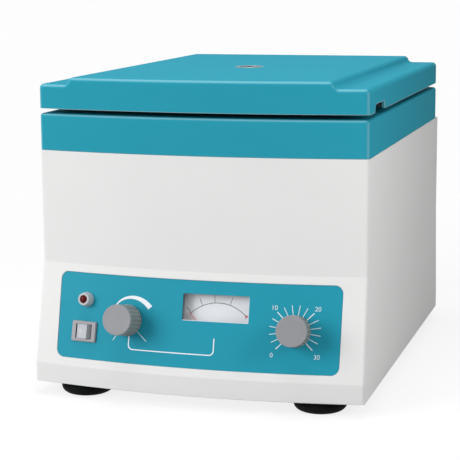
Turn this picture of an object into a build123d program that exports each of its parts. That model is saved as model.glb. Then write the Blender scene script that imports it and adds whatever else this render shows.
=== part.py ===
from build123d import *

import os
from math import cos, hypot, radians, sin, sqrt

# Bench cytocentrifuge: a moulded body with a leaning control console, a teal top frame that
# carries the chamber, a rear-hinged lid, and a four-place swing-out slide rotor on a motor.
# Millimetres. +X is the operator's right, the console faces -Y, +Z is up, z = 0 is the bench.
# Heights are worked out upward from the bench; y = 0 is midway between the knob faces and
# the rear inlet, so the origin is the centre of the footprint.

# ---------------------------------------------------------------- driving dimensions
# Body
body_width = 303.6
body_depth = 375.2
bow_radius = 828.0
corner_radius = 3.0
wall = 3.5
skirt_height = 17.5
console_height = 90.2
console_lean = 21.8
console_flare = 1.5
upper_wall_height = 102.3
top_frame_height = 33.35
deck_thickness = 4.0
rear_ledge = 14.0
frame_corner_radius = 5.0
frame_edge_radius = 3.0
frame_seam_radius = 0.8
lip_depth = 6.0
lip_thickness = 2.5
seat_clearance = 0.2

# Lid
lid_gap = 4.4
lid_shoulder_height = 22.1
lid_crown_rise = 6.4
lid_crown_inset = 34.8
lid_step_width = 8.8
lid_wall = 3.0
lid_edge_radius = 4.0
notch_length = 46.0
notch_height = 7.0
notch_taper = 3.5
notch_setback = 45.0
notch_depth = 12.0
liner_thickness = 2.5
liner_recess = 1.0
boss_radius = 4.5
boss_inset = 18.0

# Sight port
sight_rim_radius = 13.5
sight_tube_radius = 11.4
sight_bore_radius = 9.6
sight_rim_thickness = 1.6
sight_rim_chamfer = 0.6
sight_sink = 1.2
sight_glass_ledge = 1.2
sight_glass_thickness = 3.0
sight_glass_depth = 2.0

# Feet and base
foot_height = 12.0
foot_radius = 24.0
foot_neck_radius = 20.0
foot_roll = 7.0
foot_recess_radius = 6.0
foot_recess_depth = 5.0
foot_inset = 41.8
foot_front_setback = 20.0
foot_rear_setback = 38.0
screw_radius = 2.0
screw_head_radius = 4.0
screw_head_height = 2.6
base_thickness = 2.0
lug_size = 20.0
lug_height = 8.0
base_vent_width = 4.0
base_vent_length = 60.0
base_vent_pitch = 11.0
base_vent_count = 7

# Chamber
chamber_setback = 160.8
bowl_radius = 118.0
bowl_sheet = 1.5
bowl_floor_radius = 14.0
bowl_hole_radius = 17.0
bowl_flange_width = 9.0
gasket_setback = 3.0
gasket_overhang = 4.0
gasket_edge_radius = 1.5
soft_gap = 0.3

# Drive
mount_radius = 10.0
mount_height = 18.0
mount_waist = 2.0
mount_span = 52.0
motor_plate_size = 128.0
motor_plate_thickness = 3.0
motor_radius = 46.0
motor_length = 96.0
can_sheet = 2.5
bell_height = 11.0
bell_boss_radius = 15.0
bell_boss_height = 6.0
tie_bolt_radius = 2.0
tie_bolt_margin = 4.5
tie_bolt_count = 3
armature_radius = 31.0
armature_length = 58.0
armature_slots = 12
armature_slot_depth = 10.0
armature_slot_width = 3.0
commutator_radius = 15.0
commutator_length = 14.0
commutator_gap = 11.0
shaft_radius = 5.0
shaft_end_gap = 1.0
shaft_collar = 3.0
running_clearance = 0.05
boot_sheet = 2.0
boot_fold = 6.0

# Rotor
rotor_headroom = 14.75
pivot_radius = 60.0
hub_radius = 21.0
hub_height = 28.0
hub_taper = 12.0
rotor_edge_radius = 1.5
arm_width = 10.0
arm_thickness = 13.0
fork_width = 25.0
fork_clearance = 1.8
trunnion_radius = 3.0
nut_radius = 13.0
nut_height = 9.0
nut_flutes = 10
nut_flute_radius = 3.2
nut_flute_offset = 2.0
turned_chamfer = 0.8
carrier_places = 4

# Slide carriers
slide_length = 76.0
slide_width = 26.0
slide_thickness = 1.0
bracket_sheet = 1.2
slide_clearance = 0.3
carrier_drop = 42.0
carrier_clearance = 12.65
flange_rise = 7.0
hanger_width = 15.0
chamber_foot_length = 58.0
chamber_foot_width = 22.0
chamber_foot_height = 6.0
funnel_radius = 8.5
funnel_mouth_radius = 11.0
funnel_rise = 11.5
funnel_wall = 1.8
cup_bore_radius = 4.0

# Control panel
panel_margin = 20.8
panel_height = 77.6
panel_drop = 46.5
panel_radius = 7.0
panel_recess = 1.6
panel_thickness = 1.2

# Knobs
knob_radius = 14.0
knob_length = 22.5
knob_standoff = 1.0
knob_rim = 1.4
knob_barrel_radius = 13.7
knob_flutes = 22
flute_radius = 1.5
flute_depth = 0.8
knob_socket_radius = 10.5
knob_socket_depth = 5.0
knob_bore_depth = 16.0
cap_radius = 13.6
cap_thickness = 2.0
cap_edge = 0.6
spindle_radius = 3.0
bushing_radius = 4.7
bushing_proud = 4.0
bushing_nut_radius = 7.0
bushing_nut_height = 2.0
speed_inset = 68.7
speed_drop = 47.0
timer_inset = 39.7
timer_drop = 48.0
pot_radius = 12.0
pot_depth = 10.0
pot_tab = 8.0
timer_case_size = 46.0
timer_case_depth = 32.0
timer_case_radius = 4.0

# Power switch
switch_inset = 26.7
switch_drop = 60.5
switch_width = 24.6
switch_height = 18.6
switch_corner_radius = 1.5
switch_bevel = 0.8
switch_flange = 2.0
switch_body_margin = 1.4
switch_body_depth = 22.0
rocker_opening_width = 16.0
rocker_opening_height = 13.2
rocker_gap = 0.2
rocker_crest_half = 5.6
rocker_crest = 6.2
rocker_valley = 5.3
rocker_waist_half = 7.5
rocker_waist = 1.5
rocker_skirt_half = 6.8
rocker_skirt = -2.0
rocker_root = 5.0
rocker_pivot_depth = 3.0
rocker_pin_radius = 1.5
rocker_pin_reach = 1.4
rocker_tilt = 12.0
rocker_root_gap = 2.0
terminal_count = 2
terminal_thickness = 0.8
terminal_width = 6.3
terminal_length = 8.0

# Pilot lamp
lamp_inset = 27.1
lamp_drop = 31.5
lamp_radius = 6.8
lamp_face_radius = 5.5
lamp_length = 6.8
lamp_edge_radius = 0.5
lamp_lens_radius = 3.7
lamp_lens_seat = 2.5
lamp_lens_rise = 1.7
lamp_body_radius = 4.0
lamp_body_depth = 20.0

# Speed meter
meter_inset = 111.25
meter_drop = 31.3
meter_width = 60.5
meter_height = 23.8
meter_window_radius = 1.0
meter_case_margin = 2.8
meter_case_top = 15.5
meter_case_depth = 26.0
meter_case_wall = 1.5
meter_case_radius = 2.0
meter_case_gap = 1.0
dial_depth = 10.0
dial_thickness = 0.8
meter_fit_gap = 0.2
needle_pivot_drop = 31.0
needle_length = 37.0
needle_tail = 4.5
needle_tail_gap = 1.0
needle_width = 0.6
needle_thickness = 0.5
needle_swing = 90.0
needle_height = 1.4
needle_hub_radius = 2.5
needle_pin_radius = 1.0
meter_glass_thickness = 1.2
meter_glass_depth = 6.0

# Electronics
board_width = 116.0
board_depth = 78.0
board_thickness = 1.6
board_post_radius = 3.5
board_post_height = 8.0
board_post_inset = 5.0
component_x = 34.0
component_y = 13.0
relay_width = 28.0
relay_depth = 22.0
relay_height = 16.0
capacitor_radius = 8.0
capacitor_height = 24.0
sink_length = 60.0
sink_depth = 24.0
sink_height = 28.0
sink_base = 4.0
sink_fin = 2.0
sink_fins = 6
sink_edge_gap = 2.0
sink_offset = 10.0

# Rear inlet
inlet_inset = 55.8
inlet_height = 52.0
inlet_width = 50.0
inlet_tall = 38.0
inlet_corner_radius = 3.0
inlet_flange = 2.5
inlet_rim_side = 5.0
inlet_rim_end = 2.5
inlet_body_depth = 24.0
socket_width = 24.0
socket_tall = 16.0
socket_depth = 15.0
socket_offset = 7.0
blade_width = 4.0
blade_thickness = 2.0
blade_length = 10.0
blade_pitch = 14.0
blade_rise = 4.0
fuse_width = 22.0
fuse_tall = 8.0
fuse_depth = 14.0
fuse_offset = 8.5
fuse_gap = 0.2
fuse_proud = 0.6
rear_vent_width = 4.0
rear_vent_height = 34.0
rear_vent_pitch = 10.0
rear_vent_count = 9
rear_vent_z = 150.0

# Hinges
hinge_inset = 59.8
hinge_width = 44.0
hinge_leaf = 2.0
hinge_leaf_radius = 1.0
hinge_leaf_height = 16.0
hinge_knuckle = 4.0
hinge_standoff = 5.0
hinge_pin = 2.0
hinge_pin_proud = 0.5
hinge_side_gap = 0.3
hinge_middle = 15.4
hinge_leaf_gap = 3.4

# Lid sensing
reed_width = 22.0
reed_depth = 8.0
reed_height = 6.0
reed_radius = 1.0
reed_bowl_gap = 11.3
magnet_radius = 6.0
magnet_height = 4.0

# ---------------------------------------------------------------- levels and places
base_z = foot_height
skirt_top = base_z + skirt_height
console_top = skirt_top + console_height
frame_bottom = console_top + upper_wall_height
frame_top = frame_bottom + top_frame_height
deck_bottom = frame_top - deck_thickness
lid_bottom = frame_top + lid_gap
lid_shoulder = lid_bottom + lid_shoulder_height
lid_top = lid_shoulder + lid_crown_rise
liner_bottom = lid_bottom + liner_recess
liner_top = liner_bottom + liner_thickness
bowl_top = frame_top
gasket_inner = bowl_radius + gasket_setback
gasket_outer = bowl_radius + bowl_flange_width + gasket_overhang
nut_top = liner_bottom - rotor_headroom
hub_top = nut_top - nut_height
hub_bottom = hub_top - hub_height
pivot_height = hub_bottom + arm_thickness
bowl_floor = pivot_height - carrier_drop - carrier_clearance

slope_run = console_lean / console_height
slope_length = hypot(console_lean, console_height)
slope_cos = console_height / slope_length
slope_sin = console_lean / slope_length
panel_sink = panel_recess - panel_thickness
body_half = body_width / 2
panel_length = body_width - 2 * panel_margin
speed_x = speed_inset - panel_length / 2
timer_x = panel_length / 2 - timer_inset
switch_x = switch_inset - panel_length / 2
lamp_x = lamp_inset - panel_length / 2
meter_x = panel_length / 2 - meter_inset
inlet_x = body_half - inlet_inset
hinge_span = body_half - hinge_inset
foot_span_x = body_half - foot_inset
tie_bolt_circle = motor_radius + tie_bolt_margin


def bow(x):
    """Distance the front face falls back from its middle at a given x."""
    return bow_radius - sqrt(bow_radius**2 - x**2)


# The footprint runs from the lower rim of a knob's face to the rear inlet.
front_sagitta = bow(body_half)
knob_proud = knob_standoff + knob_length - panel_sink * slope_cos
knob_reach = (
    body_depth / 2
    + front_sagitta
    - bow(speed_x)
    + speed_drop * slope_sin
    + knob_proud * slope_cos
    + knob_radius * slope_sin
)
rear_reach = body_depth / 2 + inlet_flange + fuse_proud
body_mid_y = (knob_reach - rear_reach) / 2
front_corner_y = body_mid_y - body_depth / 2
front_apex_y = front_corner_y - front_sagitta
rear_y = body_mid_y + body_depth / 2
frame_rear_y = rear_y - rear_ledge
chamber_y = front_corner_y + chamber_setback
reed_y = chamber_y - bowl_radius - bowl_sheet - reed_bowl_gap - reed_depth / 2
hinge_y = frame_rear_y + hinge_standoff
hinge_z = frame_top + lid_gap / 2


# ---------------------------------------------------------------- shared shapes
def body_plan(height, spread=0.0, inset=0.0, back=rear_y, corner=corner_radius):
    """Plan of the body: square at the back and bowed at the front.

    spread runs from 0 above the console to 1 at the skirt, where the front and the sides
    stand out; inset shrinks the outline for inner faces; back is where it ends.
    """
    half = body_half + spread * console_flare - inset
    radius = bow_radius - inset
    centre_y = front_apex_y - spread * console_lean + bow_radius
    corner_y = centre_y - sqrt(radius**2 - half**2)
    back_y = back - inset
    with BuildSketch(Plane.XY.offset(height)) as plan:
        with BuildLine():
            ThreePointArc((-half, corner_y), (0, centre_y - radius), (half, corner_y))
            Polyline((half, corner_y), (half, back_y), (-half, back_y), (-half, corner_y))
        make_face()
        fillet(plan.vertices(), max(corner - inset, corner / 4))
    return plan.sketch


def frame_plan(height, inset=0.0):
    """Plan of the top frame and the lid, which stop short of the body's back."""
    return body_plan(height, 0.0, inset, frame_rear_y, frame_corner_radius)


def console_plane(x, drop, proud=0.0):
    """Plane on the bowed console, drop below its upper edge along the slope.

    Its x runs to the right, its y up the slope and its z out of the console. proud lifts
    the origin off the panel's face.
    """
    root = sqrt(bow_radius**2 - x**2)
    tangent = x / root
    normal = Vector(tangent, -1, slope_run).normalized()
    surface = Vector(
        x,
        front_apex_y + bow_radius - root - drop * slope_sin,
        console_top - drop * slope_cos,
    )
    origin = surface + normal * (proud - panel_sink * slope_cos)
    return Plane(origin=origin, x_dir=Vector(1, tangent, 0), z_dir=normal)


def console_core(inset):
    """Solid inside the console's surface, shrunk by inset."""
    with BuildPart() as core:
        loft([body_plan(skirt_top, 1.0, inset), body_plan(console_top, 0.0, inset)], ruled=True)
    return core.part


def body_stack(inset, floor, ceiling):
    """Skirt, console and upper wall as one solid between two levels."""
    with BuildPart() as stack:
        extrude(body_plan(floor, 1.0, inset), amount=skirt_top - floor)
        loft([body_plan(skirt_top, 1.0, inset), body_plan(console_top, 0.0, inset)], ruled=True)
        extrude(body_plan(console_top, 0.0, inset), amount=ceiling - console_top)
    return stack.part


def ring(inner, outer, bottom, top):
    """Plain ring about the chamber's axis."""
    with BuildPart() as tube:
        with BuildSketch(Plane((0, chamber_y, bottom))):
            Circle(outer)
            Circle(inner, mode=Mode.SUBTRACT)
        extrude(amount=top - bottom)
    return tube.part


def save(part, label):
    """Label a finished piece and write it."""
    part.label = label
    export_step(part, f"parts/{label}.step")


os.makedirs("parts", exist_ok=True)

# ---------------------------------------------------------------- console cut-outs
speed_plane = console_plane(speed_x, speed_drop)
timer_plane = console_plane(timer_x, timer_drop)
switch_plane = console_plane(switch_x, switch_drop)
lamp_plane = console_plane(lamp_x, lamp_drop)
meter_plane = console_plane(meter_x, meter_drop)
panel_plane = Plane(
    origin=(0, front_apex_y, console_top - panel_drop * slope_cos),
    x_dir=(1, 0, 0),
    z_dir=(0, -1, 0),
)
panel_reach = 2 * console_lean + front_sagitta
panel_outline_height = panel_height * slope_cos
wall_back = (panel_sink - wall) * slope_cos
reach = 25.0
switch_body_width = switch_width - 2 * switch_body_margin
switch_body_height = switch_height - 2 * switch_body_margin

with BuildPart() as control_holes:
    for knob_plane in (speed_plane, timer_plane):
        with BuildSketch(knob_plane.offset(-reach / 2)):
            Circle(bushing_radius + seat_clearance)
        extrude(amount=reach)
    with BuildSketch(switch_plane.offset(-reach / 2)):
        Rectangle(switch_body_width + 2 * seat_clearance, switch_body_height + 2 * seat_clearance)
    extrude(amount=reach)
    with BuildSketch(lamp_plane.offset(-reach / 2)):
        Circle(lamp_body_radius + seat_clearance)
    extrude(amount=reach)
    with BuildSketch(meter_plane.offset(-reach / 2)):
        RectangleRounded(meter_width, meter_height, meter_window_radius)
    extrude(amount=reach)

# ---------------------------------------------------------------- housing
with BuildPart() as panel_pocket:
    with BuildSketch(panel_plane):
        RectangleRounded(
            panel_length + 2 * seat_clearance,
            panel_outline_height + 2 * seat_clearance,
            panel_radius + seat_clearance,
        )
    extrude(amount=panel_reach, both=True)
    add(console_core(panel_recess), mode=Mode.SUBTRACT)

with BuildPart() as housing:
    add(body_stack(0.0, base_z, frame_bottom))
    add(body_stack(wall, base_z, frame_bottom), mode=Mode.SUBTRACT)
    # Ledge that closes the body behind the top frame.
    extrude(body_plan(frame_bottom - wall), amount=wall)
    extrude(frame_plan(frame_bottom - wall, wall), amount=wall, mode=Mode.SUBTRACT)
    # Corner lugs that the base plate is screwed up to.
    lug_x = body_half + console_flare - wall - lug_size / 2
    lug_front = front_corner_y - console_lean + wall + lug_size / 2
    lug_rear = rear_y - wall - lug_size / 2
    with Locations(*[(sx * lug_x, y) for sx in (-1, 1) for y in (lug_front, lug_rear)]):
        with Locations((0, 0, base_z + base_thickness)):
            Box(
                lug_size,
                lug_size,
                lug_height,
                align=(Align.CENTER, Align.CENTER, Align.MIN),
            )
    add(panel_pocket.part, mode=Mode.SUBTRACT)
    add(control_holes.part, mode=Mode.SUBTRACT)
    # Rear vents and the inlet's cut-out.
    rear_plane = Plane(origin=(0, rear_y, 0), x_dir=(-1, 0, 0), z_dir=(0, 1, 0))
    with BuildSketch(rear_plane):
        with Locations((0, rear_vent_z)):
            with GridLocations(rear_vent_pitch, 0, rear_vent_count, 1):
                SlotOverall(rear_vent_height, rear_vent_width, rotation=90)
        with Locations((-inlet_x, inlet_height)):
            Rectangle(
                inlet_width - 2 * inlet_rim_side + 2 * seat_clearance,
                inlet_tall - 2 * inlet_rim_end + 2 * seat_clearance,
            )
    extrude(amount=-2 * wall, mode=Mode.SUBTRACT)
save(housing.part, "housing")

with BuildPart() as control_panel:
    with BuildSketch(panel_plane):
        RectangleRounded(panel_length, panel_outline_height, panel_radius)
    extrude(amount=panel_reach, both=True)
    add(console_core(panel_sink), mode=Mode.INTERSECT)
    add(console_core(panel_recess), mode=Mode.SUBTRACT)
    add(control_holes.part, mode=Mode.SUBTRACT)
save(control_panel.part, "control_panel")

# ---------------------------------------------------------------- top frame
with BuildPart() as top_frame:
    extrude(frame_plan(frame_bottom), amount=top_frame_height)
    top_loop = top_frame.faces().sort_by(Axis.Z)[-1].edges()
    fillet(top_loop, frame_edge_radius)
    seam_loop = top_frame.faces().sort_by(Axis.Z)[0].edges()
    fillet(seam_loop, frame_seam_radius)
    # Locating lip that drops inside the housing's rim.
    lip_inset = wall + seat_clearance
    lip_bottom = frame_bottom - lip_depth
    extrude(frame_plan(lip_bottom, lip_inset), amount=lip_depth)
    extrude(
        frame_plan(lip_bottom, lip_inset + lip_thickness),
        amount=2 * lip_depth,
        mode=Mode.SUBTRACT,
    )
    extrude(
        frame_plan(frame_bottom + lip_depth, wall),
        amount=deck_bottom - frame_bottom - lip_depth,
        mode=Mode.SUBTRACT,
    )
    with BuildSketch(Plane((0, chamber_y, deck_bottom))):
        Circle(bowl_radius + bowl_sheet + seat_clearance)
    extrude(amount=deck_thickness, mode=Mode.SUBTRACT)
    with BuildSketch(Plane((0, chamber_y, frame_top - bowl_sheet))):
        Circle(bowl_radius + bowl_flange_width + seat_clearance)
    extrude(amount=bowl_sheet, mode=Mode.SUBTRACT)
save(top_frame.part, "top_frame")

# ---------------------------------------------------------------- base plate and feet
foot_spots = [
    (sx * foot_span_x, y)
    for y in (
        front_corner_y - console_lean + foot_front_setback,
        rear_y - foot_rear_setback,
    )
    for sx in (-1, 1)
]
board_y = front_corner_y - console_lean + wall + foot_front_setback + board_depth / 2
board_spots = [
    (sx * (board_width / 2 - board_post_inset), board_y + sy * (board_depth / 2 - board_post_inset))
    for sx in (-1, 1)
    for sy in (-1, 1)
]
base_top = base_z + base_thickness
motor_plate_z = base_top + mount_height
motor_z = motor_plate_z + motor_plate_thickness

with BuildPart() as base_plate:
    extrude(body_plan(base_z, 1.0, wall + seat_clearance), amount=base_thickness)
    with BuildSketch(Plane.XY.offset(base_z)):
        with Locations((0, chamber_y)):
            with GridLocations(base_vent_pitch, 0, base_vent_count, 1):
                SlotOverall(base_vent_length, base_vent_width, rotation=90)
        with Locations(*foot_spots):
            Circle(screw_radius + seat_clearance)
    extrude(amount=base_thickness, mode=Mode.SUBTRACT)
    with BuildSketch(Plane.XY.offset(base_top)):
        with Locations(*board_spots):
            Circle(board_post_radius)
    extrude(amount=board_post_height)
save(base_plate.part, "base_plate")

with BuildPart() as feet:
    for spot in foot_spots:
        with BuildSketch(Plane((spot[0], spot[1], 0), x_dir=(1, 0, 0), z_dir=(0, -1, 0))):
            with BuildLine():
                Polyline(
                    (foot_recess_radius, 0),
                    (foot_radius - foot_roll, 0),
                )
                RadiusArc(
                    (foot_radius - foot_roll, 0), (foot_radius, foot_roll), -foot_roll
                )
                Polyline(
                    (foot_radius, foot_roll),
                    (foot_neck_radius, foot_height),
                    (screw_radius + seat_clearance, foot_height),
                    (screw_radius + seat_clearance, foot_recess_depth),
                    (foot_recess_radius, foot_recess_depth),
                    (foot_recess_radius, 0),
                )
            make_face()
        revolve(axis=Axis((spot[0], spot[1], 0), (0, 0, 1)))
save(feet.part, "feet")

with BuildPart() as foot_screws:
    for spot in foot_spots:
        with BuildSketch(Plane((spot[0], spot[1], foot_recess_depth - screw_head_height))):
            Circle(screw_head_radius)
        extrude(amount=screw_head_height)
        with BuildSketch(Plane((spot[0], spot[1], foot_recess_depth))):
            Circle(screw_radius)
        extrude(amount=foot_height - foot_recess_depth + base_thickness)
        with BuildSketch(Plane((spot[0], spot[1], base_top))):
            RegularPolygon(screw_head_radius, 6)
        extrude(amount=screw_head_height)
save(foot_screws.part, "foot_screws")

# ---------------------------------------------------------------- chamber
with BuildPart() as chamber_bowl:
    outer = bowl_radius + bowl_sheet
    flange_outer = bowl_radius + bowl_flange_width
    with BuildSketch(Plane((0, chamber_y, 0), x_dir=(1, 0, 0), z_dir=(0, -1, 0))):
        with BuildLine():
            Line((bowl_hole_radius, bowl_floor), (bowl_radius - bowl_floor_radius, bowl_floor))
            RadiusArc(
                (bowl_radius - bowl_floor_radius, bowl_floor),
                (bowl_radius, bowl_floor + bowl_floor_radius),
                -bowl_floor_radius,
            )
            Polyline(
                (bowl_radius, bowl_floor + bowl_floor_radius),
                (bowl_radius, bowl_top),
                (flange_outer, bowl_top),
                (flange_outer, bowl_top - bowl_sheet),
                (outer, bowl_top - bowl_sheet),
                (outer, bowl_floor + bowl_floor_radius),
            )
            RadiusArc(
                (outer, bowl_floor + bowl_floor_radius),
                (bowl_radius - bowl_floor_radius, bowl_floor - bowl_sheet),
                bowl_floor_radius + bowl_sheet,
            )
            Polyline(
                (bowl_radius - bowl_floor_radius, bowl_floor - bowl_sheet),
                (bowl_hole_radius, bowl_floor - bowl_sheet),
                (bowl_hole_radius, bowl_floor),
            )
        make_face()
    revolve(axis=Axis((0, chamber_y, 0), (0, 0, 1)))
save(chamber_bowl.part, "chamber_bowl")

with BuildPart() as chamber_gasket:
    add(ring(gasket_inner, gasket_outer, bowl_top, liner_bottom - soft_gap))
    fillet(chamber_gasket.edges().group_by(Axis.Z)[-1], gasket_edge_radius)
save(chamber_gasket.part, "chamber_gasket")

# ---------------------------------------------------------------- motor
mount_spots = [
    (sx * mount_span, chamber_y + sy * mount_span) for sx in (-1, 1) for sy in (-1, 1)
]
with BuildPart() as motor_mounts:
    for spot in mount_spots:
        with BuildSketch(Plane((spot[0], spot[1], base_top), x_dir=(1, 0, 0), z_dir=(0, -1, 0))):
            with BuildLine():
                Polyline((0, mount_height), (0, 0), (mount_radius, 0))
                ThreePointArc(
                    (mount_radius, 0),
                    (mount_radius - mount_waist, mount_height / 2),
                    (mount_radius, mount_height),
                )
                Line((mount_radius, mount_height), (0, mount_height))
            make_face()
        revolve(axis=Axis((spot[0], spot[1], 0), (0, 0, 1)))
save(motor_mounts.part, "motor_mounts")

with BuildPart() as motor_plate:
    with BuildSketch(Plane((0, chamber_y, motor_plate_z))):
        RectangleRounded(motor_plate_size, motor_plate_size, mount_radius)
        with PolarLocations(tie_bolt_circle, tie_bolt_count, start_angle=90):
            Circle(tie_bolt_radius + seat_clearance, mode=Mode.SUBTRACT)
    extrude(amount=motor_plate_thickness)
save(motor_plate.part, "motor_plate")

can_top = motor_z + motor_length
bell_top = can_top + bell_height
with BuildPart() as motor_can:
    with BuildSketch(Plane((0, chamber_y, motor_z))):
        Circle(motor_radius)
    extrude(amount=motor_length)
    with BuildSketch(Plane((0, chamber_y, motor_z + can_sheet))):
        Circle(motor_radius - can_sheet)
    extrude(amount=motor_length, mode=Mode.SUBTRACT)
    fillet(motor_can.edges().group_by(Axis.Z)[0], can_sheet)
save(motor_can.part, "motor_can")

with BuildPart() as motor_bell:
    with BuildSketch(Plane((0, chamber_y, can_top))):
        Circle(motor_radius)
        with PolarLocations(tie_bolt_circle, tie_bolt_count, start_angle=90):
            Circle(2.5 * tie_bolt_radius)
    extrude(amount=bell_height)
    fillet(motor_bell.edges().group_by(Axis.Z)[-1], 2.0)
    with BuildSketch(Plane((0, chamber_y, bell_top))):
        Circle(bell_boss_radius)
    extrude(amount=bell_boss_height)
    with BuildSketch(Plane((0, chamber_y, can_top))):
        Circle(shaft_radius + running_clearance)
    extrude(amount=bell_height + bell_boss_height, mode=Mode.SUBTRACT)
    with BuildSketch(Plane((0, chamber_y, can_top))):
        with PolarLocations(tie_bolt_circle, tie_bolt_count, start_angle=90):
            Circle(tie_bolt_radius + seat_clearance)
    extrude(amount=bell_height, mode=Mode.SUBTRACT)
save(motor_bell.part, "motor_bell")

with BuildPart() as motor_bolts:
    with BuildSketch(Plane((0, chamber_y, motor_plate_z))):
        with PolarLocations(tie_bolt_circle, tie_bolt_count, start_angle=90):
            Circle(tie_bolt_radius)
    extrude(amount=bell_top - motor_plate_z)
    with BuildSketch(Plane((0, chamber_y, bell_top))):
        with PolarLocations(tie_bolt_circle, tie_bolt_count, start_angle=90):
            Circle(2 * tie_bolt_radius)
    extrude(amount=screw_head_height)
save(motor_bolts.part, "motor_bolts")

with BuildPart() as bowl_boot:
    boot_low = bell_top
    boot_high = bowl_floor + boot_sheet
    boot_mid = (bell_top + bowl_floor) / 2
    grip = bell_boss_radius + soft_gap
    neck = bowl_hole_radius - boot_sheet - soft_gap
    with BuildSketch(Plane((0, chamber_y, 0), x_dir=(1, 0, 0), z_dir=(0, -1, 0))):
        with BuildLine():
            Polyline(
                (grip, boot_low),
                (grip + boot_sheet, boot_low),
                (grip + boot_sheet + boot_fold, boot_mid),
                (neck + boot_sheet, bowl_floor - bowl_sheet),
                (neck + boot_sheet, bowl_floor + soft_gap),
                (neck + 2 * boot_sheet + soft_gap, bowl_floor + soft_gap),
                (neck + 2 * boot_sheet + soft_gap, boot_high + soft_gap),
                (neck, boot_high + soft_gap),
                (neck, bowl_floor - bowl_sheet),
                (grip + boot_fold, boot_mid),
                (grip, boot_low),
            )
        make_face()
    revolve(axis=Axis((0, chamber_y, 0), (0, 0, 1)))
save(bowl_boot.part, "bowl_boot")

# ---------------------------------------------------------------- rotor
armature_bottom = motor_z + commutator_gap
shaft_bottom = motor_z + can_sheet + shaft_end_gap
with BuildPart() as drive_shaft:
    with BuildSketch(Plane((0, chamber_y, shaft_bottom))):
        Circle(shaft_radius)
    extrude(amount=hub_top - shaft_bottom)
    with BuildSketch(Plane((0, chamber_y, hub_bottom - shaft_collar))):
        Circle(shaft_radius + shaft_collar)
    extrude(amount=shaft_collar)
    chamfer(drive_shaft.edges().group_by(Axis.Z)[-1], turned_chamfer)
save(drive_shaft.part, "drive_shaft")

with BuildPart() as armature:
    with BuildSketch(Plane((0, chamber_y, armature_bottom))):
        Circle(commutator_radius)
        Circle(shaft_radius, mode=Mode.SUBTRACT)
    extrude(amount=commutator_length)
    with BuildSketch(Plane((0, chamber_y, armature_bottom + commutator_length))):
        Circle(armature_radius)
        with PolarLocations(armature_radius, armature_slots):
            SlotOverall(armature_slot_depth, armature_slot_width, mode=Mode.SUBTRACT)
        Circle(shaft_radius, mode=Mode.SUBTRACT)
    extrude(amount=armature_length)
save(armature.part, "armature")

bracket_half_length = slide_length / 2 + slide_clearance + bracket_sheet
bracket_half_width = slide_width / 2 + slide_clearance + bracket_sheet
fork_face = bracket_half_length + fork_clearance
fork_mid = fork_face + fork_width / 2
trunnion_end = bracket_half_length - bracket_sheet + slide_clearance / 2

with BuildPart() as rotor_head:
    with BuildSketch(Plane((0, chamber_y, pivot_height - arm_thickness / 2))):
        Circle(hub_radius)
        with PolarLocations(0, carrier_places, start_angle=45):
            with Locations((fork_mid * sqrt(2) / 2, 0)):
                Rectangle(fork_mid * sqrt(2), arm_width)
        with Locations(*[(sx * fork_mid, sy * fork_mid) for sx in (-1, 1) for sy in (-1, 1)]):
            Rectangle(fork_width, fork_width)
        # The outer corner of each fork follows the rotor's swept circle.
        Circle(fork_mid * sqrt(2) + fork_width / 3, mode=Mode.INTERSECT)
    extrude(amount=arm_thickness)
    upper_edges = rotor_head.edges().filter_by(GeomType.CIRCLE, reverse=True).group_by(Axis.Z)[-1]
    fillet(upper_edges, rotor_edge_radius)
    with BuildSketch(Plane((0, chamber_y, hub_bottom))):
        Circle(hub_radius)
    extrude(amount=arm_thickness / 2)
    with BuildSketch(Plane((0, chamber_y, pivot_height + arm_thickness / 2))):
        Circle(hub_radius)
    extrude(amount=hub_top - pivot_height - arm_thickness / 2, taper=hub_taper)
    for quarter in range(carrier_places):
        axis_rotation = Location((0, chamber_y, pivot_height), (0, 0, 90 * quarter))
        for side in (-1, 1):
            face = Plane((pivot_radius, side * fork_face, 0), x_dir=(1, 0, 0), z_dir=(0, side, 0))
            with BuildSketch(Plane(axis_rotation * face.location)):
                Circle(trunnion_radius)
            extrude(amount=-(fork_face - trunnion_end))
    with BuildSketch(Plane((0, chamber_y, hub_bottom))):
        Circle(shaft_radius)
    extrude(amount=hub_top - hub_bottom, mode=Mode.SUBTRACT)
save(rotor_head.part, "rotor_head")

with BuildPart() as rotor_nut:
    with BuildSketch(Plane((0, chamber_y, hub_top))):
        Circle(nut_radius)
        with PolarLocations(nut_radius + nut_flute_offset, nut_flutes):
            Circle(nut_flute_radius, mode=Mode.SUBTRACT)
    extrude(amount=nut_height)
    chamfer(rotor_nut.faces().sort_by(Axis.Z)[-1].edges(), turned_chamfer)
save(rotor_nut.part, "rotor_nut")


def bracket(place):
    """Folded steel cradle with two hangers that hook over the trunnions."""
    with BuildPart() as cradle:
        with BuildSketch(place.offset(-carrier_drop)):
            Rectangle(2 * bracket_half_width, 2 * bracket_half_length)
        extrude(amount=bracket_sheet + slide_thickness + flange_rise)
        with BuildSketch(place.offset(-carrier_drop + bracket_sheet)):
            Rectangle(
                2 * (bracket_half_width - bracket_sheet),
                2 * (bracket_half_length - bracket_sheet),
            )
        extrude(amount=carrier_drop, mode=Mode.SUBTRACT)
        for side in (-1, 1):
            outer_face = Plane(
                place.from_local_coords(Vector(0, side * bracket_half_length, 0)),
                x_dir=place.x_dir,
                z_dir=place.y_dir * side,
            )
            up = 1 if outer_face.y_dir.dot(place.z_dir) > 0 else -1
            with BuildSketch(outer_face):
                with Locations((0, -up * carrier_drop / 2)):
                    Rectangle(hanger_width, carrier_drop)
                Circle(hanger_width / 2)
                Circle(trunnion_radius + running_clearance, mode=Mode.SUBTRACT)
                with Locations((0, -up * 3 * trunnion_radius / 2)):
                    Rectangle(
                        2 * (trunnion_radius + running_clearance),
                        3 * trunnion_radius,
                        mode=Mode.SUBTRACT,
                    )
            extrude(amount=-bracket_sheet)
    return cradle.part


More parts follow.
